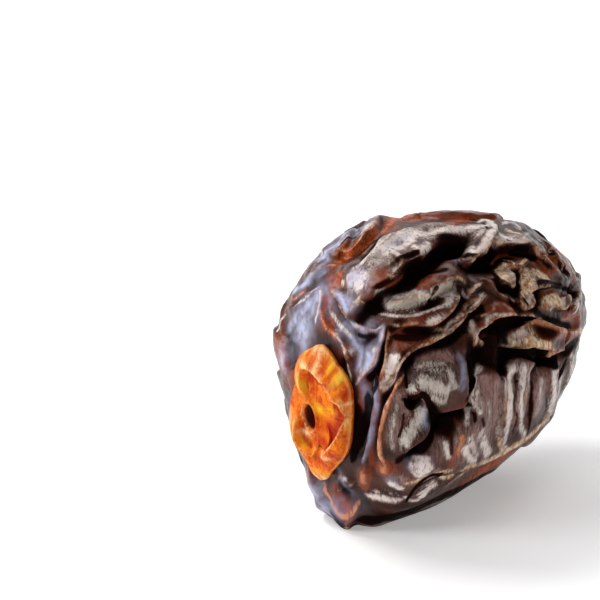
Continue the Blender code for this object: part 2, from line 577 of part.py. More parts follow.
def build_calyx():
    """The calyx: a shell over the stem end with the petals' rims and the hollow of the lost stem."""
    q, degrees = np.meshgrid(np.linspace(0, 1, CALYX_ROWS + 1)[1:],
                             np.linspace(0, 360, CALYX_COLUMNS, endpoint=False), indexing="ij")
    q = np.append(q.ravel(), 0.0)
    degrees = np.append(degrees.ravel(), 0.0)
    percent = np.maximum(q * calyx_edge(degrees), POLES[0])
    base = skin_point(percent, degrees)
    normal = skin_normal(percent, degrees)
    normal[-1] = (0, -1, 0)
    under = base + normal * (stem_relief(percent) + CALYX_GAP)[:, None]
    x = (base[:, 0] - base[-1, 0]) / MM
    z = (base[:, 2] - base[-1, 2]) / MM
    hole_x, hole_z, half_x, half_z, depth = CALYX_HOLE
    from_hole = np.hypot((x - hole_x) / half_x, (z - hole_z) / half_z)
    lip_height, lip_place, lip_width = HOLE_LIP
    relief = rim_height(x, z) * (1 - smooth_step(q, *RIMS_END)) * smooth_step(from_hole, *HOLE_CLEAR)
    relief += lip_height * np.exp(-((from_hole - lip_place) / lip_width) ** 2)
    relief -= depth * (1 - smooth_step(from_hole, *HOLE_WALL))
    thick = CALYX_EDGE + CALYX_CROWN * np.sqrt(np.clip(1 - q ** 2, 0, 1)) + relief * MM
    outer = under + normal * np.maximum(thick, CALYX_EDGE)[:, None]
    ring = CALYX_ROWS * CALYX_COLUMNS
    inner = under[:ring].reshape(CALYX_ROWS, CALYX_COLUMNS, 3)[::-1].reshape(-1, 3)
    points = np.vstack([outer[:ring], inner, outer[ring:], under[ring:]])
    faces = closed_grid(2 * CALYX_ROWS, CALYX_COLUMNS, 2 * ring, 2 * ring + 1)
    dry = new_material("calyx_skin", CALYX_COLOUR, CALYX_ROUGHNESS)
    return add_solid("calyx", points, faces, CALYX_TRIANGLES, dry)


def settling_shift(objects):
    """The move that rests the date on the ground with its middle over the origin."""
    corners = np.array([v.co for obj in objects for v in obj.data.vertices])
    low, high = corners.min(0), corners.max(0)
    return Vector((-(low[0] + high[0]) / 2, -(low[1] + high[1]) / 2, -low[2]))


for old in list(bpy.data.objects):
    bpy.data.objects.remove(old)
pieces = [build_fruit(), build_calyx()]
shift = settling_shift(pieces)
for piece in pieces:
    piece.data.transform(Matrix.Translation(shift))
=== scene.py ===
"""The looks of a medjool date lying on its side: finely wrinkled skin, papery calyx, floor, light and camera.

A place on the skin is given by two values, as in the solids: how far it is along the skin from the stem
pole to the tip, in percent, and how far round the long axis it is, in degrees, from 0 at the top
through 90 on the +X flank to 180 underneath.
"""
import math

import bpy
import numpy as np
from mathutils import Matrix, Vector, noise


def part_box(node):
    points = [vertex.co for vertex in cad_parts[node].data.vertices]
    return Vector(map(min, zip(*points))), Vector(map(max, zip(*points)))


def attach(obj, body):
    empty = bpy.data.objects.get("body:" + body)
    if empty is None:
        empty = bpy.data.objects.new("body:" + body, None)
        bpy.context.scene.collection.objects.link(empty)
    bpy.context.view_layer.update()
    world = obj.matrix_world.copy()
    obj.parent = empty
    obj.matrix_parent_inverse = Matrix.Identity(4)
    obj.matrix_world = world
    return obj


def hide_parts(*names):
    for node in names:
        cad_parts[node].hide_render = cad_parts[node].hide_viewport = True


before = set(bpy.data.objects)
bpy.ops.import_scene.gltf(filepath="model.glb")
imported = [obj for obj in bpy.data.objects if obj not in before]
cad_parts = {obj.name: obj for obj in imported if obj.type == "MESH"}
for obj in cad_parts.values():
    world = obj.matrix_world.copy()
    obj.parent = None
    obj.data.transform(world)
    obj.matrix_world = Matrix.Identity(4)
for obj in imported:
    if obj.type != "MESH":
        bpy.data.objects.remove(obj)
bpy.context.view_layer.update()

MM = 0.001

# The smooth body under the folds, as in the solids
LENGTH = 45.0 * MM
WIDTH = 28.5 * MM
HEIGHT = 34.5 * MM
STEM_BLUNTNESS = 5.2
TIP_BLUNTNESS = 2.0
ROUNDNESS = 1.85
TAPER = 0.15
TIP_RISE = 1.6 * MM
END_DROOP = 1.8 * MM
END_LEAN = -0.3 * MM
SKIN_SINK = 0.45 * MM
STEM_RECESS = 1.2 * MM
STEM_SEAT = (4, 10.5)
FOLDS_START = (0.2, 2.8)
PROFILE_SAMPLES = 4001
POLES = (0.05, 99.95)
BELLY = 2.6 * MM
BELLY_PLACE = (1.0 * MM, 10.0 * MM, 36.0)
REST_REACH = (-0.85, -0.6, 0.15, 0.5)
REST_ROUND = (0.72, 0.97)
REST_DEPTH = 0.8 * MM

# A fold: how high its crest and how deep its furrow is for its height, the radius of its lip and how
# steep the wall below it, where the furrow lies and how wide its far side is in millimetres, and how
# wide the line along the lip is
CREST_SHARE = 0.75
FURROW_SHARE = 0.8
LIP = 0.1
WALL = 1.15
FURROW_PLACE = 1.5
FURROW_SPREAD = (0.7, 0.6)
LINE_WIDTH = 0.14
BLEND_POWER = 3.0
FOLD_SCALE = 1.25 * MM
FOLD_FADE = 0.2
FOLD_LEAN = 0.35
PATH_STEPS = 12

# Wandering folds on the rest of the skin
SEED = 27
WANDER_STEP = 2.0 * MM
WANDER_HEIGHT = (0.6, 1.05)
WANDER_GENTLE = (1.6, 3.0)
WANDER_STEEP = (0.6, 0.9)
WANDER_TURN = 0.28
WANDER_ALONG = (16, 29, 42, 55, 68, 80)
WANDER_ROUND = 17
WANDER_REACH = (13, 97)
UNDERSIDE = (0.4, 0.95)
UNDERSIDE_CALM = 0.55
REST_CALM = 0.75
TIP_CALM = (0.65, 55, 75)
STEM_CALM = (0.5, 16, 28)
WANDER_SCATTER = (5, 4)
WANDER_HEADING = 0.35
WANDER_STEPS = (5, 12)
FORK_CHANCE = 0.45
FORK_HEIGHT = 0.7
FORK_TURN = (0.7, 1.1)
FORK_STEPS = 4

# Where the folds read off the fruit cover the skin: the top and bottom bounds as (percent, degrees)
LAID_TOP = ((12, -52), (24, -50), (30, -30), (45, -24), (50, -14), (60, -2), (80, 24))
LAID_BOTTOM = ((12, 195), (24, 190), (30, 150), (50, 146), (66, 136), (80, 92))
LAID_END = 80
LAID_BLEND = 6
LAID_END_BLEND = 2
SEAM = -120

# Dished facets and fine creases
CELL_DEPTH = 0.30 * MM
CELL_SIZE = 5.0 * MM
CELL_STRETCH = 1.8
CELL_WARP = 0.3
CREASE_DEPTH = 0.08 * MM
CREASE_SIZE = 2.2 * MM

# Mesh resolution, closer on the flank that the camera sees
ROWS = 240
COLUMNS = 412
FINE_ROWS = (10, 82, 0.5)
FINE_COLUMNS = (-45, 150, 0.8)
CALYX_ROWS = 120
CALYX_COLUMNS = 400
UNDER_ROWS = 24

# The floor and the wall round it: half-side, the wall's radii and heights in metres, their own light
FLOOR_SIDE = 3.0
FLOOR_GLOW = 0.3
WALL_SIDES = 96
WALL_PROFILE = ((2.0, 0.0), (2.3, 0.02), (2.5, 0.12), (2.58, 0.3), (2.6, 0.75))
WALL_GLOW = 0.42

# The camera of the photograph: its bearing and height in degrees, its distance, the focal length for
# a 36 mm sensor, and where in the 600 x 600 image the middle of the smooth body falls
BEARING = 48.0
ELEVATION = 22.5
DISTANCE = 285 * MM
FOCAL = 133.4
IMAGE_SIDE = 600
BODY_PIXEL = (452, 341)

# Folds read off the fruit: height, half-width of the gentle left side and of the steep right side in
# millimetres, then the places along the lip
FOLDS = (
    (0.5, 1, 0.5, (33.5, -45), (28.5, -17), (30, -15), (31.5, -15), (37, -25), (38.5, -24)),
    (0.7, 1.2, 0.5, (29.5, -20), (30, -12), (30.5, -9), (32.5, -9), (34.5, -11), (37, -12), (41, -19),
     (45, -24)),
    (0.7, 2, 0.8, (55, 14), (52.5, 12), (50, 9), (48, 6), (45.5, 4), (42, 4), (39, 4), (37, 3), (35, 3),
     (32.5, 6), (30, 8), (28, 7), (26.5, 3), (25.5, 3)),
    (0.5, 1.5, 0.9, (45.5, -21), (48.5, -20), (52, -19), (53.5, -8), (55.5, -3), (58, 1), (64.5, 1),
     (67, 6)),
    (0.4, 0.8, 0.5, (25, -37), (24.5, -26), (25.5, -21), (26, -19), (26.5, -15), (26.5, -11), (25.5,
     -8)),
    (0.4, 0.9, 0.5, (23, -50), (22.5, -40), (22.5, -32), (22.5, -28)),
    (0.4, 1.2, 0.5, (23, -15), (21.5, -17), (21, -22), (21, -32), (20.5, -39), (20.5, -44), (25, -63)),
    (0.5, 2, 0.6, (12.5, 55), (13.5, 45), (14.5, 35), (15, 26), (15.5, 19), (15, 9), (15.5, 1), (17,
     -5), (18.5, -9), (21, -12), (22.5, -14)),
    (0.6, 1.6, 0.4, (22, -9), (21.5, 0), (20.5, 7), (20, 12), (19.5, 18), (18.5, 21)),
    (0.3, 0.8, 0.4, (22, 12), (22, 5), (22, 0), (22, -7)),
    (0.4, 1.5, 0.35, (26, 1), (24, 7), (22, 11)),
    (1.2, 2.6, 0.6, (22, 12), (23, 16), (24, 20), (25, 22), (26, 22), (27.5, 23), (29, 25), (31, 25),
     (32.5, 23), (34.5, 21), (37.5, 21), (40, 19), (43, 16), (46.5, 15), (49, 16), (51.5, 18), (53,
     23)),
    (1.1, 1.5, 0.55, (47.5, 25), (47, 29), (47, 33), (51, 29), (52, 29), (53, 29), (54, 27), (55.5, 26),
     (57, 28), (59, 29), (60.5, 30), (62, 30), (64.5, 32), (66.5, 34), (69.5, 37), (69.5, 41)),
    (0.4, 0.8, 0.4, (33, 7), (33.5, 11), (33.5, 15), (33.5, 18)),
    (0.3, 0.4, 0.4, (33, 16), (33.5, 19), (32, 22), (30.5, 24), (29.5, 23), (30, 20), (32, 15), (33,
     16)),
    (0.9, 1.8, 0.45, (26, 29), (27.5, 33), (29.5, 35), (31, 36), (32.5, 37), (33, 40), (34.5, 40), (36,
     39), (38, 38), (39.5, 37), (42, 38), (43.5, 41), (44, 44)),
    (0.8, 1.6, 0.45, (24, 38), (26, 43), (28.5, 46), (31, 49), (32.5, 51), (34.5, 51), (36.5, 50),
     (38.5, 48), (41, 44), (41.5, 39)),
    (0.5, 0.7, 0.4, (43.5, 44), (43.5, 47), (43, 48), (44, 46), (46, 45), (48, 45)),
    (0.5, 0.8, 0.5, (49.5, 43), (49.5, 47), (50.5, 50), (51.5, 53), (53, 55), (54.5, 58), (55.5, 60)),
    (1, 1.8, 0.5, (20, 67), (21.5, 64), (23, 61), (24, 58), (25, 57), (26.5, 56), (28.5, 56), (30.5,
     57), (32.5, 57), (35, 57), (37, 56), (38.5, 55), (40.5, 53), (42, 53), (43.5, 52), (45, 51), (47,
     50), (49, 48)),
    (0.4, 0.6, 0.4, (31, 53), (33, 54), (34.5, 55), (37, 54), (38.5, 53), (41, 51), (42.5, 50), (45,
     50), (47.5, 49)),
    (0.6, 0.7, 0.5, (24.5, 43), (23.5, 46), (22.5, 50), (21.5, 55), (20, 60), (19.5, 64), (19, 68), (20,
     67)),
    (0.8, 1, 0.5, (13, 57), (15, 53), (17.5, 51), (19, 50), (20, 47), (21.5, 45), (23, 42), (23.5, 40)),
    (0.5, 0.8, 0.5, (23.5, 39), (22, 39), (20.5, 34), (19.5, 28), (19, 21)),
    (0.6, 0.6, 0.5, (18.5, 52), (18, 61), (17.5, 68), (17, 76), (16, 83), (15.5, 90), (15, 98), (15,
     107), (15, 116), (14.5, 123)),
    (0.7, 1.4, 0.5, (24, 65), (23, 67), (22, 71), (20.5, 75), (19.5, 79), (18.5, 86), (18, 94), (18,
     103), (19, 110), (20, 114)),
    (0.9, 2.2, 0.6, (21, 111), (22, 107), (23, 100), (24.5, 96), (26, 94), (27, 92), (27.5, 88), (27,
     84), (27, 80), (26.5, 77)),
    (0.9, 2.4, 0.7, (24.5, 69), (24.5, 73), (25, 76), (26, 73), (27, 73), (27.5, 78), (28, 82), (30,
     85), (31.5, 86), (34, 87), (36, 87), (36, 83), (36, 78), (36.5, 72), (36.5, 68), (36, 64)),
    (0.7, 2, 0.7, (44, 74), (40, 75), (42.5, 82), (40.5, 84), (39.5, 88), (40, 93), (39, 96), (35.5,
     95), (33, 94), (31.5, 97), (29.5, 100), (26.5, 102)),
    (0.4, 1, 0.5, (55, 62), (52.5, 61), (51, 59), (50, 57), (47.5, 57), (46, 58), (44, 58), (43, 57)),
    (1.1, 1.5, 0.5, (43, 71), (43, 69), (41.5, 65), (42, 62), (43.5, 61), (46, 60), (48, 60), (50.5,
     61), (52.5, 62), (55.5, 64), (58, 66), (60.5, 70), (62.5, 74)),
    (0.5, 0.8, 0.5, (42.5, 57), (42, 60), (41.5, 64), (41.5, 67), (43, 71)),
    (0.9, 1.6, 0.6, (77.5, 86), (75, 87), (69, 84), (64.5, 79), (62.5, 77), (60.5, 74), (58.5, 71), (57,
     71), (55, 71), (53.5, 72), (53.5, 74)),
    (0.9, 1.3, 0.5, (48.5, 74), (53.5, 78), (55.5, 78), (58.5, 81), (63, 86), (61, 87), (66, 88), (66.5,
     88), (68.5, 90)),
    (0.6, 1.2, 0.7, (67.5, 92), (62, 90), (63.5, 97), (60.5, 96), (59, 93), (54, 86), (52.5, 84), (52,
     86), (50.5, 89), (47.5, 90), (44.5, 83), (44, 78), (44, 74)),
    (0.35, 1.2, 1.2, (52, 85), (51, 89), (49.5, 94), (49.5, 101), (50, 109), (50.5, 117), (52, 127)),
    (0.35, 1.2, 1.1, (53, 85), (53.5, 91), (52.5, 96), (52, 102), (53.5, 112), (58.5, 129)),
    (0.3, 1.2, 1.2, (58, 94), (58.5, 102), (59, 110), (61, 121)),
    (0.3, 1.1, 1.1, (67, 92), (64.5, 96), (63, 99), (64.5, 109), (66.5, 119), (68.5, 133), (66.5, 135)),
    (0.3, 1.1, 1.1, (71, 94), (73, 107), (74, 120), (73, 129)),
    (0.5, 2, 0.6, (29.5, 124), (30.5, 119), (32, 117), (35, 119), (39, 122), (43.5, 126), (48.5, 130),
     (52.5, 132), (56, 131), (62, 138), (65, 136)),
    (0.6, 1.6, 0.6, (17.5, 188), (19.5, 187), (23, 189), (24, 184), (24.5, 180), (25, 177),
     (23.5, 170), (21, 162), (20, 155), (19, 149)),
    (0.3, 0.8, 0.8, (17, 176), (15, 155), (15.5, 149), (15.5, 141)),
    (0.4, 0.8, 0.5, (21.5, 202), (22, 197), (22.5, 192), (23.5, 187), (24, 183)),
    (0.6, 1, 0.4, (57, 36), (56.5, 40), (57.5, 42), (58.5, 43), (60.5, 41), (65.5, 38)),
    (0.6, 1.2, 0.45, (52.5, 44), (53, 47), (54.5, 49), (55, 51), (55.5, 48), (56, 45), (56.5, 41)),
    (0.9, 1, 0.45, (60.5, 45), (58.5, 50), (56, 56), (55, 59), (55.5, 61), (57, 61), (57.5, 60), (57.5,
     57), (59, 55), (62, 55), (65, 56), (68, 57)),
    (0.6, 1.2, 0.5, (65.5, 69), (66.5, 68), (68.5, 69), (70, 68), (72, 66), (70, 64), (69, 61)),
    (0.6, 0.9, 0.5, (82.5, 57), (78, 65), (77, 69), (74, 72), (73, 74)),
    (0.5, 0.8, 0.5, (66.5, 34), (67, 37), (67.5, 41), (69, 45), (70, 48), (74.5, 49)),
    (0.5, 0.8, 0.5, (76, 30), (74, 38), (74.5, 43), (77.5, 45)),
    (0.4, 0.8, 0.6, (57, 28), (57.5, 24), (59.5, 18), (61.5, 10), (60.5, 8), (57, 10)),
)

# Which of them have no pale line along the lip, partly the lip's own light tan and partly a painted highlight,
# counted from 0, and how strong the wandering folds' is
PLAIN_FOLDS = (0, 2, 3, 6, 11, 13, 24, 26, 27, 28, 34, 35, 36, 37, 38, 39, 40, 43, 51)
WANDER_LINE = 0.3

# Soft swellings and hollows: height in millimetres, half-size along and round in millimetres, place
SWELLS = (
    (-0.5, 1.3, 1.1, 36.5, 10),
    (-0.3, 0.6, 0.7, 32, 19),
    (-0.5, 1.7, 0.6, 45, 9),
    (-0.4, 0.5, 0.5, 60, 12),
    (-0.4, 0.8, 0.6, 68, 19),
    (-1.0, 2.6, 1.6, 35.5, 26),
    (-2.3, 3.4, 2.0, 47.5, 20),
    (-2.0, 2.8, 2.2, 53, 35),
    (-0.9, 2.0, 1.0, 57.5, 33),
    (-2.6, 1.9, 3.6, 50.5, 78),
    (-2.3, 3.4, 1.3, 62, 93),
    (-1.9, 1.0, 3.8, 42, 77),
    (-1.7, 1.8, 1.7, 32, 95),
    (-1.0, 1.4, 1.2, 37, 94),
    (-1.0, 1.0, 0.9, 24.5, 79),
    (-0.6, 0.7, 1.6, 24, 76),
    (-0.8, 1.2, 1.2, 39, 89),
    (-0.8, 0.9, 1.4, 29, 99),
    (-0.7, 1.2, 1.0, 25, 103),
    (-0.9, 0.9, 2.0, 42, 48),
    (-0.8, 0.6, 1.8, 58, 50),
    (-0.8, 1.3, 0.8, 52.5, 50),
    (-0.7, 0.7, 1.3, 62.5, 62),
    (-0.7, 0.8, 1.3, 76, 64),
    (-0.5, 1.6, 1.0, 20, 38),
    (-0.7, 1.0, 4.0, 12.5, 90),
    (-0.5, 0.8, 5.0, 16, 94),
    (-0.5, 3.0, 1.2, 27, 53),
    (-0.4, 2.2, 1.2, 22, 25),
    (0.4, 3.2, 3.0, 30, 73),
    (0.4, 2.0, 3.4, 24, 89),
    (0.8, 1.7, 1.6, 27, 109),
    (0.4, 1.4, 0.7, 23.5, 123),
    (0.9, 0.9, 2.0, 16.5, 128),
    (0.6, 1.0, 1.2, 20, 115),
    (-0.4, 0.5, 0.8, 52, 93),
    (-0.6, 0.8, 1.7, 67.5, 102),
    (-0.4, 0.6, 4.0, 57, 109),
    (-0.4, 0.8, 4.0, 46.5, 104),
    (0.7, 3.5, 1.0, 62, 78),
    (1.7, 5.0, 5.0, 24, 165),
    (1.7, 4.5, 5.0, 19, 190),
    (1.1, 5.0, 5.0, 23, -66),
    (0.9, 5.0, 4.5, 31, -30),
    (0.9, 4.0, 3.0, 41, -25),
    (-0.6, 3.0, 2.5, 67, -12),
    (-0.5, 2.0, 3.0, 91, 55),
    (-0.8, 3.5, 4.0, 83, 106),
    (0.9, 5.0, 3.0, 66, 137),
    (0.4, 4.0, 3.0, 54, 146),
    (1.1, 6.0, 3.0, 40, 150),
    (0.5, 4.0, 3.0, 28, 158),
    (0.4, 3.0, 3.0, 23, 171),
    (0.3, 3.0, 2.5, 60, 147),
    (-0.4, 3.0, 4.0, 23, -108),
    (-0.3, 2.5, 1.5, 31.5, -33),
    (0.6, 2.0, 1.5, 43.5, -21),
    (-0.5, 2.0, 2.5, 85, 66),
    (-0.4, 2.5, 3.0, 88, 120),
)

# Soft patches of colour, some of them painted light and shade: kind, strength, half-size along and round in
# millimetres, place
PATCHES = (
    # painted sheen: pale smooth patches where the broad upper facets reflect the light
    ("painted_sheen", 1.2, 4.5, 2, 36, 8),
    ("painted_sheen", 1.2, 4.5, 1.5, 44.5, 10),
    ("painted_sheen", 1.1, 3.5, 1.1, 51, 13),
    ("painted_sheen", 0.9, 2.2, 0.7, 37, 19),
    ("painted_sheen", 1.1, 1.5, 2.2, 25.5, 11),
    ("painted_sheen", 0.8, 1.8, 1.3, 30, 13),
    ("painted_sheen", 0.9, 1.6, 1.2, 55, 20),
    ("painted_sheen", 0.9, 1, 1.2, 50.5, 25),
    ("painted_sheen", 0.8, 3, 0.9, 59.5, 27),
    ("painted_sheen", 0.7, 2.2, 0.5, 66.5, 36),
    ("painted_sheen", 0.8, 2.4, 0.5, 29.5, 33),
    ("painted_sheen", 0.9, 0.9, 1.4, 39, 43),
    ("painted_sheen", 1, 1.8, 0.5, 33, 50),
    ("painted_sheen", 0.6, 1, 1, 31, 21),
    ("painted_sheen", 0.9, 0.5, 3.4, 48.5, 92),
    ("painted_sheen", 0.7, 0.5, 3.4, 51.5, 97),
    ("painted_sheen", 0.8, 0.6, 3, 55, 94),
    ("painted_sheen", 0.8, 0.6, 3.4, 59.5, 105),
    ("painted_sheen", 0.8, 1, 3, 68.5, 111),
    ("painted_sheen", 0.6, 0.8, 3.4, 43, 95),
    ("painted_sheen", 0.7, 0.5, 3.2, 64.5, 114),
    ("painted_sheen", 0.6, 1.2, 3, 41, 89),
    ("painted_sheen", 1, 1.3, 1.1, 26.5, 109),
    ("painted_sheen", 1, 1.1, 0.5, 23, 122),
    ("painted_sheen", 0.7, 1.4, 0.5, 31, 123),
    ("painted_sheen", 0.8, 1.5, 1.5, 41.5, 108),
    ("painted_sheen", 0.8, 1, 1.5, 38.5, 113),
    ("painted_sheen", 0.7, 1, 1.6, 33.5, 99),
    ("painted_sheen", 0.8, 0.7, 1.2, 15.5, 34),
    ("painted_sheen", 0.7, 0.6, 1.6, 16, 47),
    ("painted_sheen", 0.8, 1.2, 0.5, 27, 24),
    ("painted_sheen", 0.9, 1.8, 0.6, 31.5, -18),
    ("painted_sheen", 0.9, 1.8, 0.6, 29, -27),
    ("painted_sheen", 0.8, 2.5, 0.6, 37.5, -16),
    ("tan", 0.9, 1.4, 1.8, 53.5, 45),
    ("tan", 0.9, 1.1, 2, 56.5, 56),
    ("tan", 0.9, 1.6, 0.7, 63.5, 65),
    ("tan", 0.8, 0.7, 1.2, 73.5, 67),
    ("tan", 0.9, 2.8, 1.2, 54, 75),
    ("tan", 1, 1.8, 0.7, 58, 81),
    ("tan", 0.8, 1.1, 2, 40.5, 64),
    ("tan", 0.8, 0.7, 1.5, 22, 58),
    ("tan", 0.9, 1.4, 0.5, 22.5, 18),
    ("tan", 0.7, 2.5, 0.4, 33, 56),
    ("tan", 0.6, 3, 0.5, 52.5, 135),
    ("tan", 0.6, 4, 0.4, 41, 131),
    ("tan", 0.6, 0.5, 3, 54.5, 102),
    ("tan", 0.7, 0.5, 3, 48.5, 102),
    ("tan", 0.7, 1.6, 0.5, 32, 31),
    ("bloom", 0.9, 1.8, 1, 26.5, 35),
    ("bloom", 0.8, 1.6, 0.8, 30, 43),
    ("bloom", 1, 1.8, 1.4, 30.5, 68),
    ("bloom", 0.9, 1.6, 2, 22.5, 95),
    ("bloom", 0.8, 3, 2.6, 33.5, 101),
    ("bloom", 0.8, 3, 2.6, 41.5, 115),
    ("bloom", 0.8, 2.4, 1.2, 31.5, 127),
    ("bloom", 0.6, 2.5, 1.2, 23, 132),
    ("bloom", 0.6, 1.2, 2, 17, 37),
    ("bloom", 0.6, 3, 0.7, 45, 141),
    ("bloom", 0.5, 1.5, 1, 34.5, 44),
    ("bloom", 0.5, 2, 1, 27, 53),
    ("bloom", 0.6, 1.6, 4, 9.5, 113),
    ("bloom", 0.5, 2, 2, 31, 15),
    ("bloom", 0.8, 3, 2.6, 30.5, 75),
    ("bloom", 0.8, 1.6, 2.4, 24.5, 88),
    # painted reflection: bluish sheen on the facets that face the bluish light
    ("painted_blue_sheen", 1, 3, 4, 15.5, -31),
    ("painted_blue_sheen", 1, 2, 3, 19.5, -13),
    ("painted_blue_sheen", 0.8, 1.2, 3, 15, -66),
    ("painted_blue_sheen", 0.9, 0.8, 2, 21.5, 12),
    ("painted_blue_sheen", 0.9, 1.2, 1.8, 25.5, 9),
    ("painted_blue_sheen", 0.8, 3.2, 0.8, 29, -21),
    ("painted_blue_sheen", 0.8, 3, 0.7, 34.5, -19),
    ("painted_blue_sheen", 0.9, 0.5, 5, 15, 75),
    ("painted_blue_sheen", 0.8, 1.2, 0.8, 20, 33),
    ("painted_blue_sheen", 0.6, 1.2, 2, 17, 19),
    ("painted_blue_sheen", 0.7, 2, 0.6, 37, 8),
    ("painted_blue_sheen", 0.7, 1, 0.8, 22.5, 122),
    ("painted_blue_sheen", 0.8, 1.2, 4, 17.5, 191),
    ("painted_blue_sheen", 0.9, 1.5, 5, 19.5, 179),
    ("painted_blue_sheen", 0.6, 1.3, 1.1, 26.5, 109),
    ("painted_blue_sheen", 0.5, 2, 1.2, 14.5, 155),
    ("mauve", 1, 3.5, 4.5, 46, 102),
    ("mauve", 1, 3, 4.5, 51.5, 101),
    ("mauve", 0.9, 2.6, 4, 59, 105),
    ("mauve", 0.9, 3, 3, 39, 108),
    ("mauve", 0.8, 2.6, 2.2, 32.5, 103),
    ("mauve", 0.6, 1.6, 3.4, 22, 84),
    ("mauve", 0.6, 3, 1.6, 24.5, 120),
    ("mauve", 0.6, 3.4, 3, 30, 73),
    ("mauve", 0.5, 3.5, 2, 61.5, 30),
    # partly the skin's own amber, partly a painted glow of light shining through thin ridges
    ("amber", 1, 2.6, 1.2, 29.5, -11),
    ("amber", 1, 2.4, 1.2, 39, -12),
    ("amber", 0.8, 4, 1, 48.5, -17),
    ("amber", 0.6, 6, 0.9, 56.5, 3),
    ("amber", 1, 1, 1.6, 23.5, -4),
    ("amber", 0.9, 0.9, 1.4, 20, -7),
    ("amber", 0.8, 1, 1.6, 16.5, 1),
    ("amber", 0.7, 1, 1.6, 15, 32),
    ("amber", 0.8, 0.9, 2.4, 20.5, 61),
    ("amber", 0.8, 0.7, 1.4, 15.5, 57),
    ("amber", 0.9, 0.9, 2.2, 16.5, 130),
    ("amber", 0.9, 1.3, 1.4, 20, 115),
    ("amber", 0.7, 0.8, 4, 16.5, 86),
    ("amber", 0.8, 1, 2, 35, 108),
    ("amber", 0.8, 6, 1, 52, 138),
    ("amber", 0.7, 1.6, 1.6, 19.5, 162),
    ("amber", 0.8, 1.2, 1.4, 55.5, 41),
    ("amber", 0.8, 1, 2.4, 58, 53),
    ("amber", 0.8, 2.4, 1, 66, 49),
    ("amber", 0.8, 2, 1, 64, 63),
    ("amber", 0.8, 3.4, 0.8, 62.5, 77),
    ("amber", 0.6, 3.6, 0.8, 46, 58),
    ("amber", 0.7, 3, 0.7, 52.5, 62),
    ("amber", 0.7, 2.4, 0.8, 68, 40),
    ("amber", 0.7, 1, 1.4, 74, 41),
    ("amber", 0.6, 4.5, 0.8, 37.5, 53),
    ("amber", 0.5, 3.5, 1.2, 27.5, 50),
    ("amber", 0.4, 2.6, 1.6, 34.5, 35),
    ("amber", 0.5, 1.6, 1.4, 28.5, 19),
    ("amber", 0.6, 1.4, 1, 75.5, 81),
    # painted shade: near-black patches in deep hollows, under lips and underneath the fruit
    ("dark", 1, 3.2, 2.2, 47.5, 18),
    ("dark", 1, 2.6, 2.4, 53, 35),
    ("dark", 0.9, 2.2, 1.2, 35.5, 25),
    ("dark", 0.9, 2.4, 0.8, 61, 32),
    ("dark", 1, 1.9, 4.2, 47.5, 74),
    ("dark", 1, 3.2, 1.2, 60.5, 90),
    ("dark", 1, 1.1, 4, 39.5, 76),
    ("dark", 1, 1.8, 1.8, 32.5, 96),
    ("dark", 0.9, 1.6, 1, 36.5, 94),
    ("dark", 0.9, 1, 0.9, 24.5, 80),
    ("dark", 0.9, 0.9, 2, 41.5, 49),
    ("dark", 0.9, 0.6, 1.8, 57.5, 50),
    ("dark", 0.9, 1.3, 0.8, 52.5, 51),
    ("dark", 0.8, 0.7, 1.3, 61, 61),
    ("dark", 0.8, 0.8, 1.3, 75.5, 64),
    ("dark", 0.8, 3, 0.6, 26, 56),
    ("dark", 0.8, 2.4, 0.8, 25.5, 43),
    ("dark", 0.9, 0.6, 2.4, 22, 49),
    ("dark", 0.7, 1.6, 0.9, 20.5, 38),
    ("dark", 0.8, 2, 1.2, 22, 25),
    ("dark", 0.8, 1, 5, 12.5, 90),
    ("dark", 0.8, 1.2, 2, 13.5, 35),
    ("dark", 0.7, 2.4, 1.4, 15.5, 157),
    ("dark", 0.8, 6, 1.6, 31, 148),
    ("dark", 0.7, 1.6, 5, 18.5, 210),
    ("dark", 1, 14, 4.5, 44, 168),
    ("dark", 0.9, 5, 3.5, 26, 172),
    ("dark", 0.9, 2.4, 2.6, 12, 95),
    ("rust", 0.9, 3, 2, 17.5, 166),
    ("rust", 1, 1.4, 3, 29, 53),
    ("painted_blue_sheen", 0.8, 1.6, 1.6, 19, 47),
    ("rust", 1, 3.5, 3, 71.5, 79),
    ("dark", 1, 2.6, 1.6, 70.5, 92),
    ("dark", 0.9, 2.4, 2, 60, 74),
    ("rust", 1, 3, 2, 80.5, 46),
    ("amber", 0.6, 3, 1.2, 78.5, 31),
    ("dark", 0.8, 3, 1.6, 83.5, 71),
    ("mauve", 1, 3, 3, 42, 91),
    ("painted_sheen", 0.6, 1.6, 2.2, 43, 90),
)
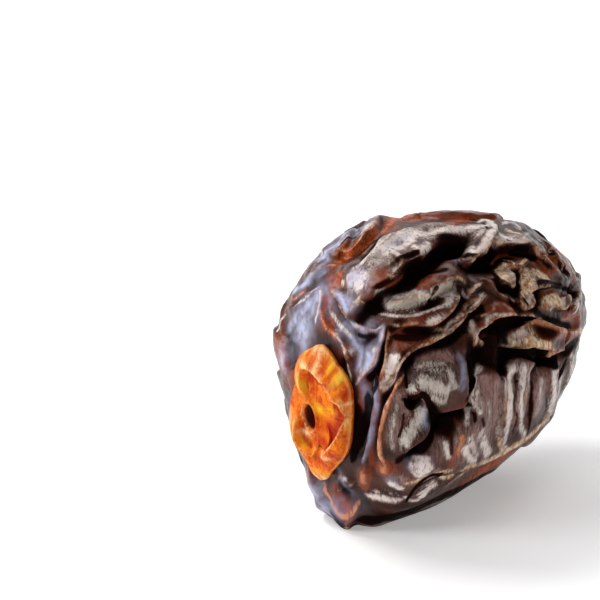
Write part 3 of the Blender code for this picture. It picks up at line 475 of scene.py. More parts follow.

# Strokes of colour, some of them painted light and shade: kind, strength and half-width in millimetres, then the
# places along the stroke
STROKE_FADE = 0.12
COLOUR_KINDS = ("painted_sheen", "tan", "bloom", "painted_blue_sheen", "amber", "peach", "rust", "mauve", "dark")
BRIGHT_KINDS = ("painted_sheen", "tan", "bloom", "painted_blue_sheen", "amber", "peach", "mauve")
STROKES = (
    ("painted_sheen", 0.9, 0.2, (15.5, 14), (15, 24), (13.5, 40), (12.75, 52)),
    ("painted_blue_sheen", 1, 0.25, (23.75, 40), (22.5, 42), (21, 45), (18.75, 49), (16.75, 51), (13.75, 56)),
    ("painted_blue_sheen", 1, 0.25, (19.25, 20), (19, 24), (20, 31), (21.75, 38), (23.75, 39)),
    ("painted_blue_sheen", 0.8, 0.65, (16.75, 23), (17, 33), (16.75, 42), (15.25, 47)),
    ("dark", 0.8, 0.4, (18.5, 30), (19.75, 36), (21.75, 41)),
    ("painted_blue_sheen", 1, 0.25, (18, 57), (17.75, 67), (17.25, 76), (15.75, 86), (15.25, 97), (15, 107),
     (14.75, 121)),
    ("rust", 1, 0.35, (15.5, 57), (17.5, 52), (18.75, 50), (18.5, 54)),
    ("rust", 1, 0.4, (19.25, 67), (18, 74), (16.25, 86), (15.75, 98), (15.75, 110), (16.5, 118)),
    ("dark", 1, 0.5, (15.25, 65), (14.5, 77), (13.25, 90), (12.75, 102), (12.5, 115)),
    ("peach", 1, 0.2, (24, 65), (23, 68), (21.75, 71), (20, 78), (18.75, 86), (18.25, 94), (18.5, 103),
     (20.25, 116)),
    ("painted_sheen", 0.9, 0.2, (38.5, 55), (35, 56), (31.75, 58), (29.75, 58), (25.75, 56), (23.25, 60),
     (21.75, 65), (19.5, 69)),
    ("painted_sheen", 1, 0.4, (21.75, 58), (23, 56), (24.5, 55)),
    ("tan", 0.9, 0.25, (19.75, 66), (20.75, 65), (21.75, 63)),
    ("peach", 0.9, 0.2, (24.25, 42), (23.25, 47), (22, 51), (20.75, 57), (20, 63), (19.25, 67)),
    ("rust", 1, 0.65, (24.25, 45), (26.25, 50), (29, 53), (31.5, 55), (34.25, 55)),
    ("dark", 1, 0.2, (24.5, 74), (24.5, 79), (25.5, 80), (26.75, 77), (27.5, 76)),
    ("dark", 1, 0.25, (27.5, 76), (28.25, 80), (29, 84)),
    ("dark", 0.9, 0.2, (24.75, 62), (24.25, 67), (24.25, 72)),
    ("painted_blue_sheen", 0.6, 0.2, (35.5, 68), (35.5, 72), (35, 76), (34, 80)),
    ("dark", 0.7, 0.2, (51.75, 106), (52.75, 115), (53.5, 123)),
    ("dark", 0.9, 0.15, (52.5, 93), (52.25, 94)),
    ("rust", 0.5, 0.4, (57, 100), (57.25, 109), (58.75, 119), (59.5, 128)),
    ("dark", 1.2, 0.6, (44.5, 69), (47.75, 66), (52.75, 66), (57, 68)),
    ("painted_sheen", 1.2, 0.4, (42.25, 58), (40.75, 62), (42.25, 69)),
    ("tan", 1, 0.4, (42.25, 62), (42.25, 67), (42.75, 70)),
    ("painted_sheen", 1.1, 0.6, (52.75, 74), (53.75, 73), (55, 74)),
    ("tan", 1.1, 0.5, (53.75, 76), (55, 76), (57.75, 79), (60.25, 82)),
    ("peach", 1, 0.4, (55.25, 69), (58, 71), (60.75, 75), (68, 82), (79, 89)),
    ("rust", 1, 0.3, (58.75, 76), (62, 80), (68.5, 85)),
    ("painted_sheen", 0.9, 0.2, (43.75, 64), (44, 60), (47, 59), (52.5, 62)),
    ("rust", 1.1, 0.65, (45, 58), (48.5, 58), (53, 61), (60.5, 69)),
    ("tan", 1.2, 0.5, (56.25, 39), (54.5, 43), (53.5, 48)),
    ("painted_sheen", 1.2, 0.4, (56.5, 42), (55.25, 46), (55, 49)),
    ("tan", 1, 0.2, (59, 34), (58, 40), (58.5, 42), (65.25, 37)),
    ("dark", 1.2, 0.25, (57.75, 44), (58, 50), (55.25, 56)),
    ("dark", 1.2, 0.4, (50.25, 45), (53.25, 49), (54.75, 54), (54.75, 58)),
    ("tan", 1.1, 0.3, (60, 47), (58.25, 53), (55.75, 58)),
    ("tan", 1.1, 0.45, (62.5, 46), (62.5, 50), (64.5, 53)),
    ("painted_sheen", 1.2, 0.3, (65.75, 55), (60, 54), (58.25, 55), (56.75, 59), (55.25, 60)),
    ("dark", 1.2, 0.3, (66.25, 57), (62.25, 56), (62.5, 59), (59.75, 64)),
    ("tan", 1.1, 0.4, (63.25, 63), (64.5, 62), (66.75, 62)),
    ("painted_sheen", 1.1, 0.25, (63, 67), (65.25, 67), (68, 65), (69.5, 65)),
    ("dark", 1.1, 0.3, (66.75, 58), (73.75, 60), (77.25, 65), (70.75, 68), (71, 72)),
    ("painted_sheen", 0.9, 0.25, (77.5, 67), (75, 73), (73.75, 76)),
    ("rust", 1, 0.3, (83.5, 71), (79.75, 78), (77.25, 83)),
    ("tan", 0.9, 0.25, (78.5, 28), (81.5, 37), (85.5, 45)),
    ("dark", 1, 0.2, (74.25, 32), (73.75, 43), (76, 51)),
    ("peach", 0.8, 0.4, (64.75, 34), (67.5, 38), (69.25, 45)),
    ("dark", 1, 0.35, (57, 29), (61, 32), (64.5, 34), (67, 40), (69, 48)),
    ("rust", 1, 0.65, (57.25, 33), (58.5, 31), (61.25, 34)),
    ("peach", 1.1, 0.2, (46.25, -22), (51.5, -21), (54.75, -12), (60.25, -4), (64, 3)),
    ("rust", 1.2, 0.4, (51.25, -17), (52.75, -6), (56.25, 1), (62.25, 4), (68, 8)),
    ("dark", 0.7, 0.25, (58, 15), (57, 19)),
    ("painted_sheen", 1.1, 0.2, (58.5, 22), (58, 27), (59.75, 30), (62.25, 30), (71, 20)),
    ("tan", 0.8, 0.5, (63.25, 18), (62.75, 24), (64.75, 26)),
    ("painted_sheen", 0.8, 0.4, (70.25, 23), (71.25, 28)),
    ("painted_sheen", 1.1, 0.25, (25.75, 2), (28.25, 8), (31.75, 6), (34.75, 5), (37.75, 3), (40.75, 5)),
    ("painted_sheen", 1.2, 0.8, (25.25, 10), (24.5, 16)),
    ("painted_sheen", 1, 0.3, (34.25, 8), (34, 14), (34, 18), (36.5, 21)),
    ("painted_sheen", 1, 0.65, (38, 15), (37.75, 19), (41.25, 17)),
    ("mauve", 1, 0.65, (37, 7), (36.75, 10)),
    ("rust", 0.7, 0.65, (26.75, 19), (28.25, 21), (29, 25), (31, 25)),
    ("tan", 1, 0.2, (21.75, 15), (23.5, 21)),
    ("amber", 1.3, 0.5, (28.25, -14), (30, -8), (32.75, -7), (38, -11), (43, -16), (47.5, -19),
     (51.5, -18)),
    ("painted_blue_sheen", 1.3, 0.4, (28.25, -33), (29, -22), (32, -20), (36.25, -23), (41, -25), (41, -19)),
    ("painted_sheen", 0.8, 0.3, (34.75, -17), (35.75, -14), (38.75, -15)),
    ("dark", 0.9, 0.15, (30, -16), (34.25, -17), (37.25, -19)),
    ("tan", 0.5, 0.4, (30.5, -1), (34.75, -5)),
    ("rust", 1.2, 0.2, (25.75, -47), (26.5, -38), (26, -23), (27.25, -18), (26.75, -10)),
    ("painted_blue_sheen", 1.2, 0.4, (24.5, -47), (23.75, -34), (24.75, -21), (25.75, -16)),
    ("rust", 1.1, 0.4, (22.75, -52), (22.5, -39), (22.5, -29)),
    ("painted_sheen", 1, 0.2, (20.75, -47), (20.5, -32), (20.75, -21), (22.25, -15)),
    ("painted_blue_sheen", 1, 0.8, (18.25, -53), (18.25, -34), (19.75, -18)),
    ("painted_sheen", 1, 0.25, (21.75, -14), (18.75, -10), (15.75, -11)),
    ("painted_sheen", 1, 0.2, (20.5, -65), (21.75, -58), (21.75, -53)),
    ("amber", 1.2, 0.3, (21, -9), (18.5, -6), (16, -1), (15.25, 12), (15.25, 21)),
    ("amber", 1.3, 0.5, (23.75, -3), (25.25, -3)),
    ("tan", 1, 0.3, (24.25, 0), (23, 3)),
    ("painted_sheen", 0.9, 0.4, (18.25, -2), (17, 12), (17, 27)),
    ("painted_blue_sheen", 1.3, 0.3, (22, 0), (21.25, 9), (20.25, 17)),
    ("dark", 1, 0.15, (21.5, -2), (20.5, 8), (19.5, 19)),
    ("painted_sheen", 1, 0.5, (28.75, 32), (30.5, 35), (33, 38)),
    ("painted_sheen", 0.9, 0.4, (36.25, 48), (39.25, 44), (41.5, 42)),
    ("painted_sheen", 0.9, 0.2, (33.25, 57), (36, 54), (42, 52), (44.5, 50), (47, 49)),
    ("painted_sheen", 0.9, 0.2, (42.75, 44), (42.75, 48), (45, 45), (48, 45)),
    ("peach", 0.75, 0.5, (16, 125), (17.25, 137)),
    ("peach", 0.75, 0.6, (19.5, 113), (20, 118)),
    ("painted_sheen", 1.2, 1.2, (26.75, 107), (27, 110)),
    ("painted_sheen", 1.2, 0.4, (22, 124), (24.5, 123)),
    ("painted_sheen", 0.7, 0.5, (19.5, 136), (21.25, 135)),
    ("painted_sheen", 0.9, 0.4, (29, 130), (30.5, 126), (31.5, 124)),
    ("dark", 1, 0.15, (27.25, 128), (29.75, 119), (33.25, 118), (39.5, 128)),
    ("mauve", 0.9, 0.8, (23, 118), (26.5, 120), (31.5, 113)),
    ("painted_sheen", 0.6, 0.5, (13.25, 159), (14.25, 147)),
    ("peach", 1, 0.3, (15.5, 183), (17, 173), (20, 167), (20.25, 159), (19.5, 150)),
    ("painted_blue_sheen", 1, 0.2, (18.75, 189), (20, 182), (21.75, 174)),
    ("dark", 1.2, 0.8, (22.75, 162), (25.25, 151), (29, 144), (35.5, 139), (44, 142), (54.5, 145)),
    ("painted_sheen", 1, 0.7, (52.5, 85), (51, 90), (50, 95), (49.75, 100), (50, 108), (50.5, 116), (51.5, 126)),
    ("painted_sheen", 0.9, 0.7, (53.25, 86), (53.75, 91), (53, 97), (52.5, 102), (53.75, 111), (57, 126)),
    ("painted_sheen", 0.5, 0.8, (47.5, 97), (47.75, 108), (48.5, 119)),
    ("dark", 0.5, 0.35, (52.5, 89), (52, 94), (50.75, 100), (51.5, 108)),
    ("dark", 0.75, 0.4, (56.5, 95), (56.5, 101), (57.25, 109), (58.5, 119), (58.75, 128)),
    ("mauve", 1.1, 1.0, (59.5, 97), (58.25, 102), (58.5, 109), (60.75, 121)),
    ("dark", 0.6, 0.25, (62.5, 111), (64.5, 120), (64.75, 126)),
    ("painted_sheen", 1, 0.75, (64.5, 87), (65.75, 97), (63.75, 100), (64.75, 109), (66, 118), (67, 128),
     (65, 131)),
    ("dark", 1.1, 0.4, (69.5, 98), (69, 104), (67, 108)),
    ("painted_sheen", 0.8, 0.8, (71, 94), (72.5, 105), (73.5, 118), (74.25, 133), (69.25, 129)),
    ("tan", 0.9, 0.65, (43, 124), (47.75, 128), (52, 130), (55.25, 129), (60, 130), (63.5, 130),
     (66.75, 129)),
    ("tan", 0.8, 0.5, (33, 122), (37.75, 127), (38.75, 121), (43, 124)),
    ("dark", 1.3, 1.45, (45, 68), (44.25, 73), (46.25, 80), (49.5, 87)),
    ("dark", 1.3, 0.9, (51.5, 82), (53.5, 81), (56.75, 85), (64.25, 95), (66.75, 95)),
    ("dark", 1.3, 0.7, (39.5, 67), (40.75, 74), (39.75, 79), (38.75, 85), (36, 86)),
    ("dark", 1.3, 0.8, (39, 92), (35.5, 91), (33.25, 93), (32, 95), (30.25, 97)),
    ("dark", 1.2, 0.6, (30, 98), (28.25, 101), (25.75, 103), (23.25, 103), (21.75, 109)),
    ("mauve", 1, 1.1, (26.5, 64), (29.5, 64), (32.5, 66), (34.75, 68)),
    ("bloom", 1.1, 1.3, (26.25, 69), (28.25, 72), (30.5, 77), (32.75, 80)),
    ("bloom", 1, 0.65, (32.75, 70), (33, 75), (33.5, 80)),
    ("painted_blue_sheen", 0.6, 0.3, (36, 67), (35.75, 72), (35.25, 77), (34.75, 81)),
    ("bloom", 1.1, 0.95, (26, 81), (25.75, 86), (24.75, 89), (23.25, 93), (22.5, 98)),
    ("painted_blue_sheen", 0.6, 0.4, (26.5, 81), (26.75, 86), (26.5, 90)),
    ("mauve", 0.9, 0.8, (23.25, 72), (22, 77), (21, 85), (20.5, 93), (20.75, 100)),
    ("painted_sheen", 0.9, 0.4, (43.25, 76), (42.25, 80), (40.25, 85), (39.5, 91), (37.75, 96), (37, 100)),
    ("painted_sheen", 0.8, 0.5, (40, 89), (40.25, 94), (40.75, 97)),
    ("dark", 0.7, 0.4, (39.25, 95), (39, 99)),
    ("dark", 0.6, 0.4, (40.75, 98), (42, 104)),
    ("painted_sheen", 0.8, 0.8, (37.75, 103), (39.75, 111), (42.25, 120)),
    ("painted_sheen", 0.8, 0.65, (42.5, 108), (44, 116), (45.75, 123)),
    ("peach", 0.8, 0.55, (35.75, 101), (36, 105), (36, 112)),
    ("painted_sheen", 0.6, 0.65, (32, 99), (31.75, 103), (32.75, 109)),
    ("dark", 0.6, 0.5, (34.25, 98), (33.5, 102), (34.25, 110)),
    ("painted_sheen", 1.1, 0.7, (40.5, 13), (45.25, 9), (47.25, 10), (50.5, 12), (53.75, 14), (57, 14),
     (59.5, 15)),
    ("painted_sheen", 1.1, 0.55, (50.5, 25), (50, 29), (52.75, 27), (54.75, 24), (59, 19)),
    ("bloom", 1.1, 0.75, (24.5, 70), (25, 72), (25.5, 73)),
    ("mauve", 1.2, 0.65, (23, 76), (22.75, 80), (24, 83)),
    ("dark", 1.4, 0.3, (23, 76), (23.75, 80), (24.5, 81), (25, 76), (27, 75), (28, 78), (28.5, 81),
     (29.75, 84)),
    ("dark", 1.2, 0.2, (24.5, 75), (24.75, 79), (24, 81)),
    ("bloom", 0.9, 0.65, (26, 64), (28.25, 65), (30.75, 67), (33, 69)),
    ("bloom", 1, 0.65, (27.5, 76), (29.5, 80), (31.75, 83)),
    ("bloom", 0.8, 0.65, (22, 76), (21, 83), (20.25, 92), (20.5, 102)),
    ("dark", 0.7, 0.2, (22.75, 82), (22.5, 88), (21.5, 94)),
    ("rust", 1.2, 0.45, (18.5, 51), (15.25, 60), (13.75, 69), (12.75, 80)),
    ("rust", 1.3, 0.45, (18.75, 68), (17.25, 79), (16, 94), (16, 109), (16.75, 119)),
    ("dark", 1.2, 0.5, (12.75, 71), (12, 89), (12, 109), (12.5, 130)),
    ("dark", 1.1, 0.25, (17.5, 55), (18, 64), (15.25, 75), (14, 90), (14.75, 104)),
    ("painted_blue_sheen", 1.2, 0.65, (18.5, 43), (18.25, 49), (16.5, 51)),
    ("painted_sheen", 0.9, 0.4, (20.5, 44), (19.75, 48), (18, 52)),
    ("painted_sheen", 1.2, 0.65, (23.5, 54), (22.5, 57), (21, 61)),
    ("painted_sheen", 1, 0.4, (21, 61), (20, 66), (19.25, 68)),
    ("dark", 1, 0.5, (24.25, 46), (26.25, 50), (29, 53), (31.5, 54)),
    ("rust", 1.1, 0.75, (16, 125), (17, 133), (18.25, 142)),
    ("mauve", 0.8, 0.4, (16, 127), (17, 138)),
    ("rust", 1, 0.65, (19.5, 113), (20.5, 117)),
    ("painted_sheen", 1.3, 1.15, (26.75, 105), (27.25, 109), (28.5, 114)),
    ("painted_sheen", 1, 0.65, (25.25, 108), (26.25, 113), (28.75, 118)),
    ("dark", 0.5, 0.15, (27, 106), (27.75, 109), (27.25, 112)),
    ("painted_sheen", 1.2, 0.6, (21.5, 124), (23.25, 123), (25, 126)),
    ("painted_sheen", 1, 0.65, (19.25, 143), (21.5, 138), (24, 136), (26.5, 134)),
    ("painted_sheen", 1.2, 0.6, (30.25, 133), (31.25, 127), (33.25, 125)),
    ("painted_sheen", 0.8, 0.5, (26.25, 131), (28.75, 134), (30.75, 134)),
    ("dark", 1.1, 0.25, (27.75, 136), (27.5, 127), (28.25, 120), (29.75, 116), (32.75, 116)),
    ("tan", 0.7, 0.4, (24.25, 121), (26.5, 120), (28.5, 117), (31.75, 115), (36, 118)),
    ("painted_sheen", 1.1, 0.75, (37, 108), (38.75, 114), (42.25, 123)),
    ("painted_sheen", 1.1, 0.9, (42.25, 111), (45, 119), (46.75, 126)),
    ("painted_sheen", 0.9, 0.65, (32, 101), (32.5, 105), (33.75, 111)),
    ("painted_sheen", 0.9, 0.5, (49.25, 118), (50.5, 124), (53, 129)),
    ("painted_sheen", 0.8, 0.5, (54, 113), (57.25, 125), (56.75, 128)),
    ("tan", 1.2, 0.85, (55.5, 40), (53.5, 45), (54, 49)),
    ("painted_sheen", 1.1, 0.5, (56.25, 41), (54.75, 46), (54.5, 50)),
    ("tan", 1.2, 0.9, (61.25, 45), (59, 51), (57, 56)),
    ("painted_sheen", 1.1, 0.45, (61, 50), (58.25, 54), (56.5, 59)),
    ("tan", 1.1, 0.75, (62.25, 48), (64.5, 51), (66, 54)),
    ("tan", 1.2, 0.85, (63, 64), (65.25, 64), (68, 65)),
    ("painted_sheen", 1.1, 0.45, (63.5, 68), (65.75, 66), (69, 66)),
    ("dark", 1.4, 0.4, (58, 42), (58.25, 47), (56, 54)),
    ("dark", 1.4, 0.45, (60.25, 56), (61.5, 54), (66.5, 56), (71.25, 58)),
    ("dark", 1.3, 0.3, (77, 59), (73.5, 67), (72, 73)),
    ("dark", 1.2, 0.4, (52.5, 40), (51.75, 51), (54.25, 57), (55.75, 61)),
    ("dark", 1.1, 0.5, (48.5, 17), (48.25, 29), (53.25, 31), (56.25, 31)),
    ("dark", 1, 0.4, (59.75, 32), (63.5, 34), (66.75, 39), (68, 45)),
    ("tan", 0.8, 0.2, (73.25, 40), (75.25, 46), (75.25, 55)),
    ("amber", 1, 0.3, (55.25, 36), (58, 32), (60, 33), (60.25, 38)),
    ("dark", 0.9, 0.4, (26, 21), (28.75, 24), (30.75, 24), (34.75, 22), (38, 22)),
    ("dark", 0.8, 0.4, (32.5, 18), (35, 19), (37.75, 19)),
    ("painted_sheen", 1.2, 0.5, (58.5, 8), (60.75, 9), (59.5, 17), (59.5, 25), (60.5, 30), (64.75, 31)),
    ("painted_sheen", 1, 0.5, (64, 13), (69, 7), (68, 19)),
    ("peach", 1.2, 0.4, (58.75, 68), (62, 73), (64, 78), (73.25, 86), (84.75, 96)),
    ("rust", 1.2, 0.4, (58.5, 72), (61, 77), (67.25, 84), (79.75, 95)),
    ("painted_sheen", 1, 0.3, (73.75, 72), (77.25, 68), (79.75, 62)),
    ("amber", 1, 0.3, (68.25, 75), (73.25, 78), (76, 77)),
    ("amber", 1.1, 0.2, (82.75, 1), (79, 31), (80, 45), (80, 60)),
    ("dark", 1.1, 0.25, (70.25, 29), (73.5, 37), (76, 47), (78.75, 60)),
    ("painted_sheen", 1, 1.05, (25.75, 28), (28, 32), (30.25, 35), (33, 38)),
    ("bloom", 1.2, 1.15, (25.75, 30), (28.5, 36), (32, 39), (34, 39)),
    ("bloom", 1.2, 0.9, (34.25, 40), (38.25, 40), (41.5, 40)),
    ("painted_sheen", 1, 0.65, (36.75, 42), (39.5, 42), (41.75, 40)),
    ("dark", 1, 0.4, (34, 28), (37, 29), (39, 32), (41.25, 33)),
    ("dark", 0.9, 0.25, (34, 42), (34.75, 40), (36.25, 38)),
    ("painted_sheen", 1, 0.25, (23.75, 31), (26.5, 39), (29.5, 44), (33, 46), (36.25, 47), (39.25, 46)),
    ("mauve", 1.1, 0.65, (42.75, 81), (42.75, 88), (42.5, 93)),
    ("painted_sheen", 0.8, 0.5, (41.25, 87), (40.25, 91), (40.25, 96)),
    ("mauve", 1.1, 1, (44, 85), (44.75, 92), (46.25, 102), (46.5, 111)),
    ("painted_sheen", 0.55, 1.1, (59.5, 97), (59, 103), (59.5, 110), (60.5, 119)),
    ("tan", 0.8, 0.4, (48.5, 117), (49.75, 123), (51.75, 129)),
)

# The calyx's edge as (degrees round, percent along)
CALYX_EDGE_LINE = (
    (0, 12.4), (6, 12.9), (18, 12.7), (32, 12.3), (49, 12.9), (58, 12.9), (71, 12.1), (87, 11.4),
    (106, 11.3), (122, 11.1), (143, 11.0), (158, 11.6), (170, 13.2), (182, 14.3), (190, 13.8),
    (196, 12.0), (203, 10.2), (212, 10.3), (222, 11.0), (236, 10.5), (253, 9.4), (275, 8.4),
    (299, 7.9), (320, 9.4), (332, 10.6), (351, 11.5), (360, 12.4),
)
CALYX_GAP = 0.30 * MM
CALYX_EDGE = 0.5 * MM
CALYX_CROWN = 1.0 * MM
CALYX_FLOOR = 0.25 * MM

# Where the stem broke off: place, half-size and depth in millimetres, and the lip around it: its height,
# where it lies and how wide it is, both as shares of the hole's half-size
CALYX_HOLE = (-0.5, -0.7, 1.15, 1.55, 1.3)
HOLE_LIP = (0.45, 1.25, 0.17)
HOLE_WALL = (0.75, 1.15)
HOLE_CLEAR = (1.0, 1.4)
# how far the painted shade inside the stem hole reaches, as shares of the hole's half-size
HOLE_SHADE = (0.95, 1.2)
RIMS_END = (0.9, 1.0)

# Rims of the petals: height and the widths of the outer and the inner side in millimetres, then points
# as millimetres towards +X and up from the stem pole; the inner side is on the right
RIM_FURROW = 0.4
RIM_LEAN = 0.15
RIMS = (
    (1.2, 1, 0.4, (3.0, 3.5), (3.8, 3.9), (4.7, 3.7), (5.7, 3.2), (6.2, 2.3), (6.4, 1.4), (6.1, 0.3),
     (5.5, -1.1), (4.5, -2.5), (3.4, -3.7), (2.6, -4.5), (2.1, -4.0), (2.0, -3.2)),
    (1, 0.9, 0.4, (-1.0, 0.7), (-1.6, 1.9), (-2.0, 3.0), (-1.7, 4.6), (-0.9, 5.8), (0.3, 6.1), (1.6,
     5.8), (2.5, 5.3), (3.3, 5.1), (3.2, 4.4), (2.8, 3.6)),
    (0.8, 0.8, 0.4, (0.2, -5.6), (-0.7, -5.5), (-2.2, -5.2), (-3.0, -4.3), (-3.2, -2.7), (-2.7, -1.3),
     (-1.5, 0.2)),
    (0.45, 0.4, 0.3, (-0.1, -5.8), (0.7, -4.5), (1.0, -3.7)),
    (0.45, 0.6, 0.3, (5.0, 3.8), (5.9, 3.7), (6.7, 3.1), (7.2, 2.2)),
    (0.4, 0.5, 0.3, (2.7, 3.8), (3.5, 4.1), (4.3, 3.9)),
    (0.25, 0.5, 0.5, (1.4, 8.4), (1.5, 7.3), (2.0, 6.2), (2.5, 5.1)),
    (0.2, 0.5, 0.5, (0.1, 7.5), (0.6, 6.4), (1.4, 5.4)),
    (0.2, 0.5, 0.5, (4.9, 6.0), (4.6, 5.1), (4.2, 4.1)),
    (0.25, 0.5, 0.4, (-1.5, 5.2), (-1.2, 3.9), (-0.8, 2.9), (-0.2, 2.0)),
)

# Soft patches of colour on the calyx, some of them painted light and shade: kind, strength, half-size across and up
# in millimetres, place
CALYX_PATCHES = (
    ("yellow", 1, 0.8, 1.7, -2, 3),
    ("yellow", 0.8, 0.5, 1.2, -3.4, 4.4),
    ("yellow", 1, 0.9, 1.4, 4.9, 6),
    ("yellow", 1, 0.6, 1.2, 3.2, 7.4),
    ("yellow", 0.8, 0.8, 0.5, -1.6, 7.6),
    ("yellow", 1, 1.1, 0.7, 1.2, 0.9),
    ("yellow", 1, 1, 0.45, 3.4, 1.4),
    ("yellow", 0.9, 0.9, 0.7, -1.8, -4.4),
    ("yellow", 0.7, 0.4, 1.6, 6.9, -0.6),
    ("yellow", 0.8, 0.4, 0.9, 4.6, -1.6),
    ("yellow", 0.7, 1, 0.5, 0.6, -7.6),
    # partly the calyx's own pale cream streaks, partly painted highlight on the rims
    ("pale", 1, 1, 0.7, 1, 8.4),
    ("pale", 0.9, 0.4, 1.6, 1.5, 6.6),
    ("pale", 1, 1.3, 0.35, -0.6, 6.2),
    ("pale", 0.8, 0.35, 0.8, 2.4, 5),
    ("pale", 1, 1, 0.4, -1.8, -3.4),
    ("pale", 1, 0.45, 1.8, -4.4, -3),
    ("pale", 0.8, 0.3, 1, -4.7, 4),
    ("pale", 0.9, 1, 0.3, 2.9, -4.5),
    ("pale", 1, 1.8, 0.6, 0.9, -8.7),
    ("pale", 0.8, 0.5, 1.4, 4.9, -6.3),
    ("pale", 0.7, 0.3, 1.4, 7.4, -2.4),
    ("pale", 0.9, 0.6, 0.2, 3.2, 3.8),
    ("pale", 0.9, 0.6, 0.2, 6.4, 3.2),
    # partly the calyx's own deep orange-red, partly painted shade between and under the petals' rims
    ("red", 1, 1.3, 1.1, 2.9, -1.1),
    ("red", 1, 0.7, 0.5, 4.4, 0.6),
    ("red", 1, 1.2, 0.8, 1.3, -3.2),
    ("red", 1, 2, 0.6, 1.9, -5.7),
    ("red", 1, 0.7, 0.8, 4.5, -4.2),
    ("red", 0.9, 0.4, 1.4, 6.2, -1.8),
    ("red", 1, 0.9, 0.5, 3.6, 4.7),
    ("red", 1, 1.2, 1, 6.3, 4.6),
    ("red", 0.9, 0.9, 0.5, 7, 2),
    ("red", 1, 0.6, 1.8, -4.6, 1),
    ("red", 0.8, 0.3, 1.8, 0, 3.4),
    ("red", 0.7, 0.3, 1.4, -3.1, 3),
    ("red", 0.7, 0.3, 1.1, 0.2, 7),
    ("red", 0.7, 0.3, 1.1, 2.6, 6.6),
    ("red", 0.6, 0.5, 0.8, -2.6, 6.4),
    ("red", 0.8, 0.5, 0.6, 1.3, 2),
    # partly small brown spots, partly painted shade under the spiral rim
    ("brown_and_shade", 0.7, 1, 0.3, 1.5, -4),
    ("brown_and_shade", 0.55, 1.6, 0.25, 3, -5.2),
    ("brown_and_shade", 0.6, 0.25, 0.25, -0.3, -8.4),
    ("brown_and_shade", 0.5, 0.25, 1, 5.7, -0.4),
)


def profile(u):
    """Share of the full half-width at u, which runs from -1 at the stem to 1 at the tip."""
    bluntness = np.where(u < 0, STEM_BLUNTNESS, TIP_BLUNTNESS)
    return np.clip(1 - np.abs(u) ** bluntness, 0, None) ** (1 / ROUNDNESS) * (1 - TAPER * u)


PROFILE_U = -np.cos(np.linspace(0, np.pi, PROFILE_SAMPLES))
PROFILE_R = profile(PROFILE_U)
PROFILE_STEPS = np.hypot(np.diff(PROFILE_U) * LENGTH / 2, np.diff(PROFILE_R) * (WIDTH + HEIGHT) / 4)
SKIN_LENGTH = PROFILE_STEPS.sum()
PROFILE_SHARE = np.append(0, np.cumsum(PROFILE_STEPS)) / SKIN_LENGTH


def smooth_step(value, low, high):
    """0 below low, 1 above high and an even slope between."""
    t = np.clip((value - low) / (high - low), 0, 1)
    return t * t * (3 - 2 * t)


def rest_share(u, degrees):
    """1 in the middle of the place that the fruit rests on, 0 away from there."""
    start, full, level, end = REST_REACH
    lengthwise = smooth_step(u, start, full) * (1 - smooth_step(u, level, end))
    return lengthwise * smooth_step(-np.cos(np.radians(degrees)), *REST_ROUND)


def belly(y, degrees):
    """How far the underside sags below the turned form."""
    middle, half_along, half_round = BELLY_PLACE
    from_below = (np.asarray(degrees) % 360 - 180) / half_round
    return BELLY * np.exp(-((y - middle) / half_along) ** 2 - from_below ** 2)


def skin_point(percent, degrees):
    """Places on the smooth body below the folds."""
    share, turn = np.broadcast_arrays(np.asarray(percent, float) / 100, np.radians(degrees))
    u = np.interp(share, PROFILE_SHARE, PROFILE_U)
    r = np.interp(share, PROFILE_SHARE, PROFILE_R)
    x = r * WIDTH / 2 * np.sin(turn) + END_LEAN * u ** 2
    z = HEIGHT / 2 + r * HEIGHT / 2 * np.cos(turn) + TIP_RISE * u - END_DROOP * u ** 2
    y = u * LENGTH / 2
    return np.stack([x, y, z - belly(y, degrees)], -1)


def skin_normal(percent, degrees):
    """Outward normals of the smooth body."""
    ahead = skin_point(np.minimum(percent + 0.2, 99.9), degrees)
    behind = skin_point(np.maximum(percent - 0.2, 0.1), degrees)
    around = skin_point(percent, degrees + 0.5) - skin_point(percent, degrees - 0.5)
    return unit(np.cross(around, ahead - behind))


def unit(vectors):
    return vectors / np.linalg.norm(vectors, axis=-1, keepdims=True)


def smooth_path(points):
    """A smooth curve through the points, with the share of its length at each sample."""
    p = np.array(points, float)
    p = np.vstack([2 * p[0] - p[1], p, 2 * p[-1] - p[-2]])
    t = np.linspace(0, 1, PATH_STEPS, endpoint=False)[:, None]
    spans = []
    for a, b, c, d in zip(p, p[1:], p[2:], p[3:]):
        bend = (2 * a - 5 * b + 4 * c - d) * t ** 2 + (3 * b - a - 3 * c + d) * t ** 3
        spans.append(b + ((c - a) * t + bend) / 2)
    path = np.vstack(spans + [p[-2:-1]])
    return path, np.linspace(0, 1, len(path))


def ridge_profile(offset, gentle, steep):
    """Shares of a fold's crest, of its furrow and of the line on its lip at an offset to its right."""
    beside = np.hypot(offset, LIP) - LIP
    crest = np.where(offset < 0, np.exp(-(beside / gentle) ** 1.2), np.exp(-(beside / steep * WALL) ** 2))
    past = offset - FURROW_PLACE * steep
    width = np.where(past < 0, steep, FURROW_SPREAD[0] + FURROW_SPREAD[1] * gentle)
    return crest, np.exp(-(past / width) ** 2), np.exp(-(offset / LINE_WIDTH) ** 2)


